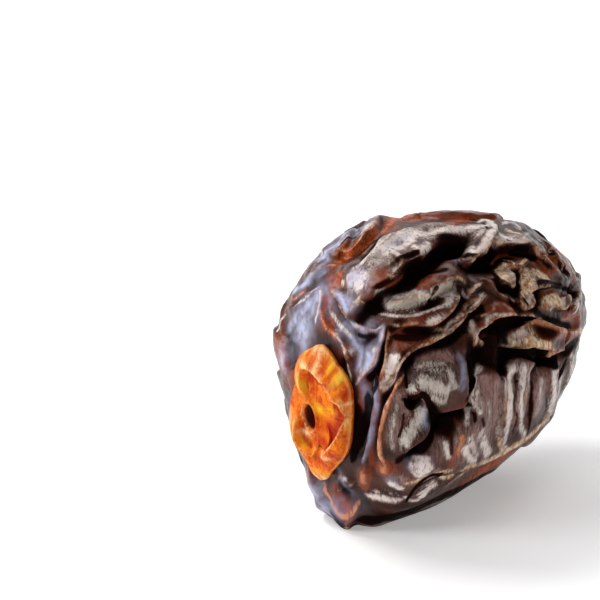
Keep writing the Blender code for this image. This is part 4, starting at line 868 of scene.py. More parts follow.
def fold_relief(places, folds, line_shares):
    """What the folds add at each place: crests, furrows and sideways lean, and lines along their lips."""
    crests = np.zeros(len(places))
    furrows = np.zeros(len(places))
    lines = np.zeros(len(places))
    lean = np.zeros((len(places), 3))
    for (height, gentle, steep, *points), line_share in zip(folds, line_shares):
        path, run = smooth_path(points)
        lip = skin_point(path[:, 0], path[:, 1])
        right = np.cross(unit(np.gradient(lip, axis=0)), skin_normal(path[:, 0], path[:, 1]))
        fade = smooth_step(np.minimum(run, 1 - run), 0, FOLD_FADE)
        reach = 3 * max(gentle, FURROW_PLACE * steep) * MM
        near = np.all((places > lip.min(0) - reach) & (places < lip.max(0) + reach), axis=1)
        near = np.flatnonzero(near)
        gaps = np.linalg.norm(places[near, None] - lip[None], axis=2)
        closest = gaps.argmin(axis=1)
        touched = gaps.min(axis=1) < reach
        near, closest = near[touched], closest[touched]
        offset = np.sum((places[near] - lip[closest]) * right[closest], axis=1) / MM
        crest, furrow, line = ridge_profile(offset, gentle, steep)
        amount = height * FOLD_SCALE * fade[closest]
        crests[near] += (amount * crest * CREST_SHARE) ** BLEND_POWER
        furrows[near] += (amount * furrow * FURROW_SHARE) ** BLEND_POWER
        line = line * line_share * np.clip(2 * height * fade[closest], 0, 1)
        lines[near] = np.maximum(lines[near], line)
        lean[near] += right[closest] * (FOLD_LEAN * amount * crest ** 3)[:, None]
    return crests ** (1 / BLEND_POWER), furrows ** (1 / BLEND_POWER), lean, lines


def patch_shape(percent, degrees, half_along, half_round, at_percent, at_degrees):
    """A soft oval spot on the skin, 1 in its middle."""
    along = (percent - at_percent) / 100 * SKIN_LENGTH / MM
    turn = np.radians((degrees - at_degrees + 180) % 360 - 180)
    around = turn * (WIDTH + HEIGHT) / 4 / MM
    return np.exp(-(along / half_along) ** 2 - (around / half_round) ** 2)


def stroke_sum(kinds, places):
    """All the strokes of the given kinds together."""
    total = np.zeros(len(places))
    for kind, strength, half_width, *points in STROKES:
        if kind not in kinds:
            continue
        path, run = smooth_path(points)
        middle = skin_point(path[:, 0], path[:, 1])
        reach = 2 * half_width * MM
        near = np.all((places > middle.min(0) - reach) & (places < middle.max(0) + reach), axis=1)
        near = np.flatnonzero(near)
        gaps = np.linalg.norm(places[near, None] - middle[None], axis=2)
        taper = smooth_step(np.minimum(run, 1 - run), -STROKE_FADE, STROKE_FADE)[gaps.argmin(axis=1)]
        shape = np.exp(-(gaps.min(axis=1) / (half_width * MM * (0.4 + 0.6 * taper))) ** 2)
        total[near] = np.maximum(total[near], strength * taper * shape)
    return total


def swell_relief(percent, degrees):
    """Soft bumps and hollows."""
    height = np.zeros(len(percent))
    for rise, *place in SWELLS:
        height += rise * MM * patch_shape(percent, degrees, *place)
    return height


def laid_share(percent, degrees):
    """1 where the folds read off the fruit cover the skin, falling to 0 where wandering folds take over."""
    turn = (degrees - SEAM) % 360 + SEAM
    upper, lower = (np.interp(percent, *np.transpose(line)) for line in (LAID_TOP, LAID_BOTTOM))
    across = smooth_step(turn - upper, -LAID_BLEND, LAID_BLEND)
    across *= 1 - smooth_step(turn - lower, -LAID_BLEND, LAID_BLEND)
    return across * (1 - smooth_step(percent, LAID_END - LAID_END_BLEND, LAID_END + LAID_END_BLEND))


def underside(degrees):
    """1 straight underneath, falling to 0 on the flanks."""
    return smooth_step(-np.cos(np.radians(degrees)), *UNDERSIDE)


def wander(rng, percent, degrees, heading, steps):
    """Points of one fold that meanders over the skin from a start place."""
    points = [(percent, degrees)]
    for _ in range(steps):
        heading += rng.normal(0, WANDER_TURN)
        radius = np.interp(percent / 100, PROFILE_SHARE, PROFILE_R) * (WIDTH + HEIGHT) / 4
        percent += WANDER_STEP * np.cos(heading) / SKIN_LENGTH * 100
        degrees += np.degrees(WANDER_STEP * np.sin(heading) / max(radius, 2 * MM))
        if not WANDER_REACH[0] < percent < WANDER_REACH[1] or laid_share(percent, degrees) > 0.5:
            break
        points.append((percent, degrees))
    return points


def wandering_folds():
    """Folds in the same manner on the far flank, underneath and round the tip."""
    rng = np.random.default_rng(SEED)
    folds = []
    for row, along in enumerate(WANDER_ALONG):
        for around in np.arange(0, 360, WANDER_ROUND):
            percent = along + rng.uniform(-WANDER_SCATTER[0], WANDER_SCATTER[0])
            degrees = around + (row % 2) * WANDER_ROUND / 2
            degrees += rng.uniform(-WANDER_SCATTER[1], WANDER_SCATTER[1])
            heading = rng.normal(0, WANDER_HEADING)
            height = rng.uniform(*WANDER_HEIGHT) * (1 - UNDERSIDE_CALM * underside(degrees))
            height *= 1 - TIP_CALM[0] * smooth_step(percent, *TIP_CALM[1:])
            height *= 1 - STEM_CALM[0] * (1 - smooth_step(percent, *STEM_CALM[1:]))
            steps = int(rng.integers(*WANDER_STEPS))
            backward = rng.random() < 0.5
            fork = rng.random() < FORK_CHANCE
            if laid_share(percent, degrees) > 0.5:
                continue
            main = wander(rng, percent, degrees, heading, steps)
            if len(main) < 3:
                continue
            widths = (rng.uniform(*WANDER_GENTLE), rng.uniform(*WANDER_STEEP))
            folds.append((height, *widths, *(main[::-1] if backward else main)))
            if fork:
                turned = heading + rng.choice([-1, 1]) * rng.uniform(*FORK_TURN)
                branch = wander(rng, *main[len(main) // 2], turned, FORK_STEPS)
                if len(branch) >= 3:
                    folds.append((FORK_HEIGHT * height, *widths, *branch))
    return folds


def cell_relief(places):
    """Shallow dished facets, longer along the fruit, with low ridges where they meet, and fine creases."""
    height = np.empty(len(places))
    crease = np.empty(len(places))
    for i, place in enumerate(places):
        spot = Vector(place / CELL_SIZE)
        spot.y /= CELL_STRETCH
        gaps = noise.voronoi(spot + CELL_WARP * noise.noise_vector(spot))[0]
        height[i] = gaps[1] - gaps[0]
        fine = Vector(place / CREASE_SIZE)
        crease[i] = 1 - 2 * abs(noise.noise(fine)) - abs(noise.noise(fine * 2.3))
    return -CELL_DEPTH * np.clip(height, 0, 1) + CREASE_DEPTH * crease


def calyx_edge(degrees):
    """How far along the skin the calyx reaches, in percent."""
    line = np.array(CALYX_EDGE_LINE)
    return np.interp(np.asarray(degrees) % 360, line[:, 0], line[:, 1])


def stem_relief(percent):
    """Height of the smooth skin under the calyx over the body."""
    return -SKIN_SINK - STEM_RECESS * (1 - smooth_step(percent, *STEM_SEAT))


def skin_relief(percent, degrees):
    """Full height of the wrinkled skin over the smooth body, its lean, its furrows and its lip lines."""
    places = skin_point(percent, degrees)
    free = smooth_step(percent - calyx_edge(degrees), *FOLDS_START)
    wandering = wandering_folds()
    shares = [0 if i in PLAIN_FOLDS else 1 for i in range(len(FOLDS))] + [WANDER_LINE] * len(wandering)
    crests, furrows, lean, lines = fold_relief(places, FOLDS + tuple(wandering), shares)
    height = crests - furrows + swell_relief(percent, degrees) + cell_relief(places)
    u = np.interp(percent / 100, PROFILE_SHARE, PROFILE_U)
    free *= 1 - REST_CALM * rest_share(u, degrees)
    return height * free + stem_relief(percent), lean * free[:, None], furrows * free, lines * free


def closed_grid(rows, columns, first, last):
    """Faces of a tube of rows x columns points, closed by a point at each end."""
    faces = []
    for c in range(columns):
        n = (c + 1) % columns
        faces.append((first, n, c))
        for r in range(rows - 1):
            a, b = r * columns, (r + 1) * columns
            faces.append((a + n, b + n, b + c, a + c))
        faces.append((last, (rows - 1) * columns + c, (rows - 1) * columns + n))
    return faces


def graded(count, low, high, fine, endpoint):
    """Places from low to high that lie closer together in the fine stretch."""
    start, end, extra = fine
    spread = np.linspace(low, high, 2001)
    density = 1 + extra * smooth_step(spread, start - 10, start + 10) * (1 - smooth_step(spread, end - 10, end + 10))
    share = np.append(0, np.cumsum(density[1:]))
    return np.interp(np.linspace(0, share[-1], count, endpoint=endpoint), share, spread)


def evened(field, rows_across, columns_across):
    """A field on the skin's grid, evened out by a soft kernel of the given half-widths in cells."""
    rows, columns = field.shape
    padded = np.vstack([field[::-1], field, field[::-1]])
    wave_rows = np.fft.fftfreq(3 * rows)[:, None]
    wave_columns = np.fft.fftfreq(columns)[None]
    kernel = np.exp(-2 * np.pi ** 2 * ((wave_rows * rows_across) ** 2 + (wave_columns * columns_across) ** 2))
    return np.fft.ifft2(np.fft.fft2(padded) * kernel).real[rows:2 * rows]


def patch_sum(kind, patches, shape, *where):
    """All the soft patches of one kind together."""
    total = np.zeros(len(where[0]))
    for name, strength, *place in patches:
        if name == kind:
            total = np.maximum(total, strength * shape(*where, *place))
    return total


def add_attribute(mesh, name, values):
    layer = mesh.attributes.new(name, 'FLOAT', 'POINT')
    layer.data.foreach_set("value", np.asarray(values, np.float32))


def add_piece(name, points, faces, attributes, material):
    """One smooth-shaded visible piece."""
    mesh = bpy.data.meshes.new(name)
    mesh.from_pydata([tuple(p) for p in points], [], faces)
    for key, values in attributes.items():
        add_attribute(mesh, key, values)
    mesh.materials.append(material)
    mesh.shade_smooth()
    obj = bpy.data.objects.new(name, mesh)
    bpy.context.collection.objects.link(obj)
    return obj


class Graph:
    """Builds one material's nodes."""

    def __init__(self, name):
        self.material = bpy.data.materials.new(name)
        self.material.use_nodes = True
        self.tree = self.material.node_tree
        self.shader = self.tree.nodes["Principled BSDF"]

    def feed(self, socket, value):
        if isinstance(value, bpy.types.NodeSocket):
            self.tree.links.new(value, socket)
        elif value is not None:
            if isinstance(value, tuple) and len(value) == 3 and len(socket.default_value) == 4:
                value = (*value, 1)
            socket.default_value = value

    def node(self, kind, inputs=(), output=0, **settings):
        made = self.tree.nodes.new(kind)
        for key, value in settings.items():
            setattr(made, key, value)
        for key, value in dict(inputs).items():
            self.feed(made.inputs[key], value)
        return made.outputs[output]

    def attribute(self, name):
        return self.node("ShaderNodeAttribute", attribute_name=name, output="Fac")

    def place(self, scale=(1, 1, 1)):
        """The piece's own coordinates in millimetres, stretched by scale."""
        spot = self.node("ShaderNodeTexCoord", output="Object")
        factor = tuple(1000 * s for s in scale)
        return self.node("ShaderNodeVectorMath", {0: spot, 1: factor}, operation='MULTIPLY')

    def noise(self, scale, detail=3.0, stretch=(1, 1, 1), roughness=0.55, distortion=0.0):
        inputs = {"Vector": self.place(stretch), "Scale": scale, "Detail": detail,
                  "Roughness": roughness, "Distortion": distortion}
        return self.node("ShaderNodeTexNoise", inputs, "Fac")

    def math(self, operation, a, b=0.0, clamp=False):
        return self.node("ShaderNodeMath", {0: a, 1: b}, operation=operation, use_clamp=clamp)

    def times(self, a, b):
        return self.math('MULTIPLY', a, b)

    def band(self, value, low, high, to_low=0.0, to_high=1.0):
        """Value mapped from low..high to to_low..to_high, with soft ends."""
        inputs = {"Value": value, "From Min": low, "From Max": high, "To Min": to_low, "To Max": to_high}
        return self.node("ShaderNodeMapRange", inputs, interpolation_type='SMOOTHSTEP')

    def mix(self, share, a, b):
        made = self.tree.nodes.new("ShaderNodeMix")
        made.data_type = 'RGBA'
        self.feed(made.inputs[0], share)
        self.feed(made.inputs[6], a)
        self.feed(made.inputs[7], b)
        return made.outputs[2]

    def bump(self, height, distance, strength=1.0, normal=None):
        inputs = {"Height": height, "Distance": distance, "Strength": strength, "Normal": normal}
        return self.node("ShaderNodeBump", inputs)

    def finish(self, **values):
        for key, value in values.items():
            self.feed(self.shader.inputs[key.replace("_", " ")], value)
        return self.material


def skin_material():
    g = Graph("date_skin_look")
    crest, hollow, line = g.attribute("crest"), g.attribute("hollow"), g.attribute("line")
    bloom, amber, dark = g.attribute("bloom"), g.attribute("amber"), g.attribute("dark")
    painted_blue_sheen, painted_sheen, tan = g.attribute("painted_blue_sheen"), g.attribute("painted_sheen"), g.attribute("tan")
    peach, rust, mauve = g.attribute("peach"), g.attribute("rust"), g.attribute("mauve")
    blotch = g.noise(0.28, 4, (1, 0.6, 1))
    streak = g.noise(1.4, 5, (1.5, 1.5, 0.6), 0.65)
    grain = g.noise(5.5, 3, (1, 1, 0.7), 0.7)
    patch = g.noise(0.7, 2)
    fibre = g.noise(2.2, 5, (1.4, 1.4, 0.3), 0.7)

    colour = g.mix(g.band(blotch, 0.35, 0.7), (0.014, 0.0040, 0.003), (0.060, 0.014, 0.007))
    # painted glow: crests coloured red-brown, as where light shines through the thin ridges
    redness = g.times(crest, g.band(blotch, 0.3, 0.6, 0.35, 0.8))
    redness = g.times(redness, g.band(streak, 0.34, 0.6, 0.25, 1.0))
    colour = g.mix(redness, colour, (0.13, 0.023, 0.009))
    # partly the skin's own amber, partly a painted glow of light shining through thin ridges
    glow = g.times(g.times(amber, g.band(streak, 0.32, 0.6, 0.25, 1.0)), g.band(grain, 0.3, 0.6, 0.55, 1.0))
    colour = g.mix(glow, colour, (0.58, 0.10, 0.013))

    # 1 away from the painted shade of the dark marks, so that the other marks fade out inside it
    clear = g.math('SUBTRACT', 1.0, g.times(g.band(dark, 0.2, 0.7), 0.95))
    earth = g.times(rust, g.band(streak, 0.3, 0.62, 0.55, 1.0))
    colour = g.mix(g.band(earth, 0.1, 0.8), colour, (0.17, 0.028, 0.009))
    dull = g.times(g.times(mauve, clear), g.band(fibre, 0.3, 0.66, 0.3, 1.1))
    colour = g.mix(g.band(dull, 0.0, 1.0), colour, (0.31, 0.17, 0.15))
    warm = g.times(peach, g.band(streak, 0.3, 0.62, 0.5, 1.0))
    colour = g.mix(g.band(warm, 0.1, 0.8), colour, (0.56, 0.20, 0.09))
    # painted sheen: pale smooth colour where the facets reflect the light
    sheen_share = g.times(g.times(painted_sheen, clear), g.band(patch, 0.3, 0.7, 0.7, 1.1))
    sheen_share = g.times(sheen_share, g.band(fibre, 0.3, 0.6, 0.5, 1.15))
    sheen_colour = g.mix(g.band(sheen_share, 0.1, 1.0), (0.12, 0.055, 0.044), (0.75, 0.64, 0.59))
    colour = g.mix(g.band(sheen_share, 0.0, 0.7), colour, sheen_colour)
    cream = g.times(g.times(tan, clear), g.band(fibre, 0.3, 0.62, 0.45, 1.05))
    ochre = g.mix(g.band(streak, 0.36, 0.6), (0.46, 0.19, 0.055), (0.80, 0.67, 0.49))
    creamy = g.mix(g.band(cream, 0.1, 0.95), (0.12, 0.035, 0.013), ochre)
    colour = g.mix(g.band(cream, 0.0, 0.6), colour, creamy)
    dust = g.times(bloom, clear)
    fuzz = g.math('ADD', g.times(grain, 0.7), g.times(fibre, 1.7))
    cover = g.math('ADD', dust, g.math('SUBTRACT', fuzz, 1.35))
    cover = g.times(g.band(cover, 0.0, 1.4), g.band(dust, 0.0, 0.35))
    haze = g.mix(g.band(cover, 0.1, 0.9), (0.066, 0.034, 0.028), (0.56, 0.49, 0.43))
    colour = g.mix(g.band(cover, 0.0, 0.4), colour, haze)
    # painted reflection: a bluish sheen on the facets that catch the bluish light
    sheen = g.times(painted_blue_sheen, g.band(patch, 0.3, 0.66, 0.4, 0.9))
    colour = g.mix(sheen, colour, (0.46, 0.48, 0.66))

    # painted shade: the dark marks colour shaded places near-black
    colour = g.mix(g.times(g.band(dark, 0.2, 0.7), 0.95), colour, (0.004, 0.0014, 0.0013))
    # painted shade: the hollows and furrows are coloured near-black where shade falls in them
    hollow_shade = g.band(hollow, 0.25, 0.8, 0.0, 0.97)
    colour = g.mix(hollow_shade, colour, (0.003, 0.0011, 0.001))
    # pale lines along the lips: partly the lips' own light tan, partly a painted highlight
    edge = g.mix(g.band(streak, 0.38, 0.6), (0.42, 0.11, 0.035), (0.74, 0.53, 0.36))
    drawn = g.times(line, g.band(patch, 0.38, 0.62, 0.1, 0.85))
    colour = g.mix(drawn, colour, edge)

    rough = g.band(cover, 0.0, 0.8, 0.26, 0.55)
    # less coat and specular in the painted shade, so that it stays dark
    shaded_share = g.math('MAXIMUM', hollow_shade, g.times(g.band(dark, 0.15, 0.6), 0.97))
    unshaded_share = g.math('SUBTRACT', 1.0, shaded_share)
    coat = g.times(g.band(cover, 0.0, 0.7, 0.12, 0.03), unshaded_share)
    shine = g.times(unshaded_share, 0.14)
    fine = g.bump(grain, 0.00005, 0.6)
    creased = g.bump(streak, 0.00012, 0.6, fine)
    return g.finish(Base_Color=colour, Roughness=rough, Normal=creased, Coat_Weight=coat,
                    Coat_Roughness=0.18, Specular_IOR_Level=shine,
                    Specular_Tint=(1.0, 0.74, 0.62), Subsurface_Weight=0.04,
                    Subsurface_Scale=0.0012, Subsurface_Radius=(1.0, 0.3, 0.12))


def build_skin():
    """The fruit's finely wrinkled skin, closed by a point at the stem pole and one at the tip."""
    percent, degrees = np.meshgrid(graded(ROWS, 0.4, 99.6, FINE_ROWS, True),
                                   graded(COLUMNS, SEAM, SEAM + 360, FINE_COLUMNS, False), indexing="ij")
    percent = np.append(percent.ravel(), POLES)
    degrees = np.append(degrees.ravel(), [0.0, 0.0])
    points = skin_point(percent, degrees)
    normals = skin_normal(percent, degrees)
    normals[-2:] = (0, -1, 0), (0, 1, 0)
    height, lean, furrows, lines = skin_relief(percent, degrees)
    points += normals * height[:, None] + lean
    floor = points[:, 2].min() + REST_DEPTH
    points[:, 2] = np.maximum(points[:, 2], floor)

    count = ROWS * COLUMNS
    field = height[:count].reshape(ROWS, COLUMNS) / MM
    cell_along = SKIN_LENGTH / MM / ROWS
    cell_round = math.pi * (WIDTH + HEIGHT) / 2 / MM / COLUMNS * 0.8

    def blurred(size):
        return evened(field, size / cell_along, size / cell_round)

    sharp, middle, broad = blurred(0.15), blurred(0.5), blurred(2.4)
    ends = np.zeros(2)
    crest = np.append(np.clip((sharp - middle) / 0.22, 0, 1).ravel(), ends)
    hollow = np.append(np.clip((broad - sharp - 0.1) / 1.0, 0, 1).ravel(), ends)
    raised = np.append(np.clip((middle - broad + 0.1) / 0.5, 0, 1).ravel(), ends)
    laid = laid_share(percent, degrees)
    mottle = np.array([noise.noise(Vector(spot)) for spot in points / (6 * MM)])
    loose = (0.45 - 0.35 * laid) * smooth_step(mottle, -0.15, 0.35)
    loose *= 1 - 0.7 * smooth_step(percent, 64, 78)
    bloom = np.maximum(patch_sum("bloom", PATCHES, patch_shape, percent, degrees), loose)
    # no pale bloom deep in the hollows, part of the painted shade there
    bloom *= 1 - 0.8 * smooth_step(hollow, 0.1, 0.6)
    loose = 0.6 * (1 - laid) * smooth_step(-mottle, 0.15, 0.45) * raised
    amber = np.maximum(patch_sum("amber", PATCHES, patch_shape, percent, degrees), loose)
    smooth_places = skin_point(percent, degrees)
    drawn = np.clip(stroke_sum(BRIGHT_KINDS, smooth_places), 0, 1)
    marks = {kind: patch_sum(kind, PATCHES, patch_shape, percent, degrees) for kind in COLOUR_KINDS}
    marks["bloom"], marks["amber"] = bloom, amber
    marks = {kind: np.maximum(marks[kind] * (1 - 0.6 * drawn), stroke_sum((kind,), smooth_places))
             for kind in COLOUR_KINDS}
    # how deep each place lies in a hollow or furrow, which the look paints as shade
    hollow = np.maximum(hollow, smooth_step(furrows / MM, 0.3, 0.9))
    attributes = {"crest": crest * (1 - 0.5 * drawn), "hollow": hollow * (1 - 0.75 * drawn),
                  "line": lines, **marks}
    faces = closed_grid(ROWS, COLUMNS, count, count + 1)
    return points, faces, attributes


def rim_field(x, z):
    """Height that the petals' rims add at a place in millimetres from the stem pole, their lean and lines."""
    spots = np.column_stack([x, z])
    crests = np.zeros(len(x))
    furrows = np.zeros(len(x))
    lines = np.zeros(len(x))
    lean = np.zeros((len(x), 2))
    for height, outer, inner, *points in RIMS:
        path, run = smooth_path(points)
        along = unit(np.gradient(path, axis=0))
        fade = smooth_step(np.minimum(run, 1 - run), 0, FOLD_FADE)
        gaps = np.linalg.norm(spots[:, None] - path[None], axis=2)
        closest = gaps.argmin(axis=1)
        step = spots - path[closest]
        right = np.column_stack([along[closest, 1], -along[closest, 0]])
        offset = np.copysign(gaps.min(axis=1), np.sum(step * right, axis=1))
        crest, furrow, line = ridge_profile(offset, outer, inner)
        amount = height * fade[closest]
        crests += (amount * crest) ** BLEND_POWER
        furrows += (amount * furrow * RIM_FURROW) ** BLEND_POWER
        lines = np.maximum(lines, line * np.clip(amount, 0, 1))
        lean += right * (RIM_LEAN * amount * crest ** 3)[:, None]
    return crests ** (1 / BLEND_POWER) - furrows ** (1 / BLEND_POWER), lean, lines


def calyx_patch(x, z, half_x, half_z, at_x, at_z):
    """A soft oval spot on the calyx, 1 in its middle."""
    return np.exp(-((x - at_x) / half_x) ** 2 - ((z - at_z) / half_z) ** 2)


def build_calyx():
    """The calyx: a shell over the stem end with the petals' rims and the hollow of the lost stem."""
    q, degrees = np.meshgrid(np.linspace(0, 1, CALYX_ROWS + 1)[1:],
                             np.linspace(0, 360, CALYX_COLUMNS, endpoint=False), indexing="ij")
    q = np.append(q.ravel(), 0.0)
    degrees = np.append(degrees.ravel(), 0.0)
    percent = np.maximum(q * calyx_edge(degrees), POLES[0])
    base = skin_point(percent, degrees)
    normal = skin_normal(percent, degrees)
    normal[-1] = (0, -1, 0)
    seat = stem_relief(percent) + CALYX_GAP
    x = (base[:, 0] - base[-1, 0]) / MM
    z = (base[:, 2] - base[-1, 2]) / MM
    rims, lean, lines = rim_field(x, z)
    keep = 1 - smooth_step(q, *RIMS_END)
    hole_x, hole_z, half_x, half_z, depth = CALYX_HOLE
    from_hole = np.hypot((x - hole_x) / half_x, (z - hole_z) / half_z)
    hole = 1 - smooth_step(from_hole, *HOLE_WALL)
    lip_height, lip_place, lip_width = HOLE_LIP
    lip = np.exp(-((from_hole - lip_place) / lip_width) ** 2)
    turn = np.arctan2(z - 0.5, x - 0.5)
    fibre = np.array([noise.noise(Vector((9 * math.cos(t), 9 * math.sin(t), r)))
                      for t, r in zip(turn, 0.12 * np.hypot(x, z))])
    top = smooth_step(z, 2.5, 5.5)
    thick = CALYX_EDGE + CALYX_CROWN * np.sqrt(np.clip(1 - q ** 2, 0, 1))
    clear = smooth_step(from_hole, *HOLE_CLEAR)
    relief = rims * keep * clear - depth * hole + lip_height * lip
    thick = thick + (relief + (0.05 + 0.1 * top) * fibre * smooth_step(q, 0.3, 0.6)) * MM
    outer = base + normal * (seat + np.maximum(thick, CALYX_FLOOR))[:, None]
    outer[:, 0] += lean[:, 0] * keep * MM
    outer[:, 2] += lean[:, 1] * keep * MM
    ring = CALYX_ROWS * CALYX_COLUMNS
    chosen = np.linspace(0, CALYX_ROWS - 1, UNDER_ROWS).round().astype(int)
    under = base + normal * seat[:, None]
    inner = under[:ring].reshape(CALYX_ROWS, CALYX_COLUMNS, 3)[chosen][::-1].reshape(-1, 3)
    points = np.vstack([outer[:ring], inner, outer[ring:], under[ring:]])
    extra = np.zeros(len(inner))

    def spread(values):
        """Attribute values of the outer side, with zeros for the hidden side."""
        return np.concatenate([values[:ring], extra, values[ring:], [0.0]])

    attributes = {kind: spread(patch_sum(kind, CALYX_PATCHES, calyx_patch, x, z))
                  for kind in ("yellow", "pale", "red", "brown_and_shade")}
    low_left = smooth_step(hole_x - x - (z - hole_z), -1.0, 2.0)
    # painted shade: the inside of the stem hole coloured dark brown
    attributes["brown_and_shade"] = np.maximum(attributes["brown_and_shade"], spread(1 - smooth_step(from_hole, *HOLE_SHADE)))
    attributes["line"] = spread(np.maximum(lines * clear, lip * (0.15 + 0.85 * low_left)))
    attributes["rise"] = spread(np.clip(rims / 1.3, -1, 1))
    attributes["fibre"] = spread(fibre * (0.4 + 0.6 * top))
    attributes["reach"] = spread(q)
    rows = CALYX_ROWS + UNDER_ROWS
    faces = closed_grid(rows, CALYX_COLUMNS, rows * CALYX_COLUMNS, rows * CALYX_COLUMNS + 1)
    return points, faces, attributes


def calyx_material():
    g = Graph("calyx_look")
    yellow, pale, red, brown_and_shade = (g.attribute(kind) for kind in ("yellow", "pale", "red", "brown_and_shade"))
    line, rise, fibre, reach = (g.attribute(kind) for kind in ("line", "rise", "fibre", "reach"))
    blotch = g.noise(0.7, 4)
    vein = g.noise(1.3, 6, (1, 1, 0.6), 0.75, 0.6)
    grain = g.noise(5.0, 4, roughness=0.7)
    colour = g.mix(g.band(vein, 0.38, 0.6), (0.72, 0.060, 0.002), (0.95, 0.25, 0.004))
    golden = g.times(yellow, g.band(vein, 0.34, 0.56, 0.45, 1.0))
    colour = g.mix(golden, colour, (0.95, 0.56, 0.02))
    # partly the calyx's own deep orange-red, partly painted shade between and under the petals' rims
    colour = g.mix(g.times(red, g.band(vein, 0.7, 0.45, 0.6, 1.0)), colour, (0.50, 0.018, 0.001))
    # painted shade: dark red where the rims' furrows sink below the shell
    colour = g.mix(g.band(rise, 0.02, -0.25, 0.0, 0.9), colour, (0.40, 0.016, 0.001))
    colour = g.mix(g.band(fibre, -0.05, -0.3, 0.0, 0.5), colour, (0.72, 0.055, 0.002))
    colour = g.mix(g.band(fibre, 0.12, 0.36, 0.0, 0.3), colour, (0.95, 0.50, 0.10))
    # partly the calyx's own pale cream streaks, partly painted highlight on the rims
    pale_and_highlight = g.times(pale, g.band(vein, 0.36, 0.58, 0.25, 1.0))
    colour = g.mix(pale_and_highlight, colour, (0.97, 0.70, 0.34))
    colour = g.mix(g.times(line, g.band(vein, 0.42, 0.62, 0.1, 0.9)), colour, (0.97, 0.70, 0.28))
    colour = g.mix(g.band(reach, 0.95, 1.0, 0.0, 0.5), colour, (0.92, 0.45, 0.13))
    # brown spots and painted shade in the stem hole and under the rims, near-black
    colour = g.mix(g.band(brown_and_shade, 0.3, 0.85, 0.0, 1.0), colour, (0.085, 0.006, 0.002))
    rough = g.band(grain, 0.3, 0.7, 0.45, 0.65)
    rugged = g.bump(grain, 0.00010, 0.8)
    rugged = g.bump(blotch, 0.0004, 0.5, rugged)
    rugged = g.bump(vein, 0.0005, 0.7, rugged)
    return g.finish(Base_Color=colour, Roughness=rough, Normal=rugged, Subsurface_Weight=0.03,
                    Subsurface_Scale=0.0008, Subsurface_Radius=(1.0, 0.35, 0.08),
                    Specular_IOR_Level=0.12)


def dress():
    """Adds the skin and the calyx where their solids are."""
    points, faces, attributes = build_skin()
    low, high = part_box("date_flesh")
    own_low, own_high = points.min(0), points.max(0)
    shift = (np.array(low) + np.array(high)) / 2 - (own_low + own_high) / 2
    shift[2] = low.z - own_low[2]
    skin = add_piece("skin", points + shift, faces, attributes, skin_material())
    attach(skin, "root")
    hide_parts("date_flesh")
    points, faces, attributes = build_calyx()
    petals = add_piece("calyx_petals", points + shift, faces, attributes, calyx_material())
    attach(petals, "root")
    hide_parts("calyx")
    return Vector(shift)


def add_stage(name, points, faces, glow):
    """A pale matt surface that isn't part of the object and gives off a little light of its own."""
    g = Graph(name + "_look")
    tone = g.mix(g.band(g.noise(0.02, 2), 0.3, 0.7), (0.86, 0.86, 0.87), (0.90, 0.90, 0.90))
    g.finish(Base_Color=tone, Roughness=0.7, Specular_IOR_Level=0.2, Emission_Color=(1.0, 0.99, 0.98),
             Emission_Strength=glow)
    mesh = bpy.data.meshes.new(name)
    mesh.from_pydata(points, [], faces)
    mesh.materials.append(g.material)
    mesh.shade_smooth()
    surface = bpy.data.objects.new(name, mesh)
    bpy.context.collection.objects.link(surface)


def add_floor():
    """A wide pale floor and the low pale wall round it that closes the view towards the horizon."""
    side = FLOOR_SIDE
    corners = [(-side, -side, 0), (side, -side, 0), (side, side, 0), (-side, side, 0)]
    add_stage("floor", corners, [(0, 1, 2, 3)], FLOOR_GLOW)
    turns = np.linspace(0, 2 * math.pi, WALL_SIDES, endpoint=False)
    points = [(r * math.cos(t), r * math.sin(t), z) for r, z in WALL_PROFILE for t in turns]
    faces = []
    for ring in range(len(WALL_PROFILE) - 1):
        for i in range(WALL_SIDES):
            a, b = ring * WALL_SIDES + i, ring * WALL_SIDES + (i + 1) % WALL_SIDES
            faces.append((b, a, a + WALL_SIDES, b + WALL_SIDES))
    add_stage("wall", points, faces, WALL_GLOW)


def aimed(obj, target):
    obj.rotation_euler = (Vector(target) - obj.location).to_track_quat('-Z', 'Y').to_euler()


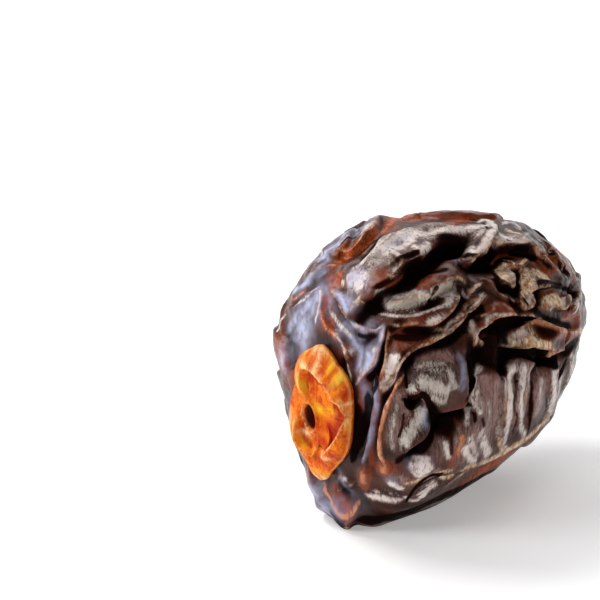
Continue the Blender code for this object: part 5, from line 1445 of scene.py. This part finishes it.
def add_light(name, azimuth, elevation, distance, size, power, colour=(1, 1, 1)):
    """An area light seen from the date at an azimuth counted like the camera's."""
    light = bpy.data.lights.new(name, 'AREA')
    light.shape = 'RECTANGLE'
    light.size, light.size_y = size
    light.energy = power
    light.color = colour
    obj = bpy.data.objects.new(name, light)
    bpy.context.collection.objects.link(obj)
    a, e = math.radians(azimuth), math.radians(elevation)
    obj.location = distance * Vector((math.sin(a) * math.cos(e), -math.cos(a) * math.cos(e), math.sin(e)))
    aimed(obj, (0, 0, 0.017))


def add_lights():
    add_light("key", -72, 50, 1.2, (0.5, 0.5), 9.0)
    add_light("back", -138, 40, 1.2, (1.0, 0.6), 5.5)
    add_light("front", -24, 30, 1.2, (0.5, 0.5), 6.0)
    add_light("top", 60, 80, 1.2, (0.6, 0.6), 1.7)
    add_light("side", 110, 30, 1.2, (0.5, 0.6), 1.1, (1.0, 0.92, 0.85))
    add_light("sky", -40, 8, 1.2, (0.6, 0.3), 2.0, (0.60, 0.75, 1.0))
    world = bpy.data.worlds.new("studio")
    bpy.context.scene.world = world
    world.use_nodes = True
    back = world.node_tree.nodes["Background"]
    back.inputs["Color"].default_value = (1, 1, 1, 1)
    back.inputs["Strength"].default_value = 0.05


def add_camera(shift):
    """The camera at the photograph's viewing angle, turned so that the body falls on its pixel."""
    camera = bpy.data.cameras.new("camera")
    camera.lens = FOCAL
    camera.sensor_width = 36.0
    camera.clip_start = 0.01
    camera.clip_end = 10
    obj = bpy.data.objects.new("camera", camera)
    bpy.context.collection.objects.link(obj)
    a, e = math.radians(BEARING), math.radians(ELEVATION)
    back = Vector((math.sin(a) * math.cos(e), -math.cos(a) * math.cos(e), math.sin(e)))
    middle = Vector((0, 0, HEIGHT / 2)) + shift
    focal_pixels = FOCAL / 36.0 * IMAGE_SIDE
    seen = Vector((BODY_PIXEL[0] - IMAGE_SIDE / 2, IMAGE_SIDE / 2 - BODY_PIXEL[1], -focal_pixels))
    turn = seen.normalized().rotation_difference(Vector((0, 0, -1)))
    obj.location = middle + back * DISTANCE
    obj.rotation_mode = 'QUATERNION'
    obj.rotation_quaternion = (-back).to_track_quat('-Z', 'Y') @ turn
    bpy.context.scene.camera = obj


body_shift = dress()
add_floor()
add_lights()
add_camera(body_shift)
view = bpy.context.scene.view_settings
view.view_transform = 'Standard'
view.exposure = 0.0
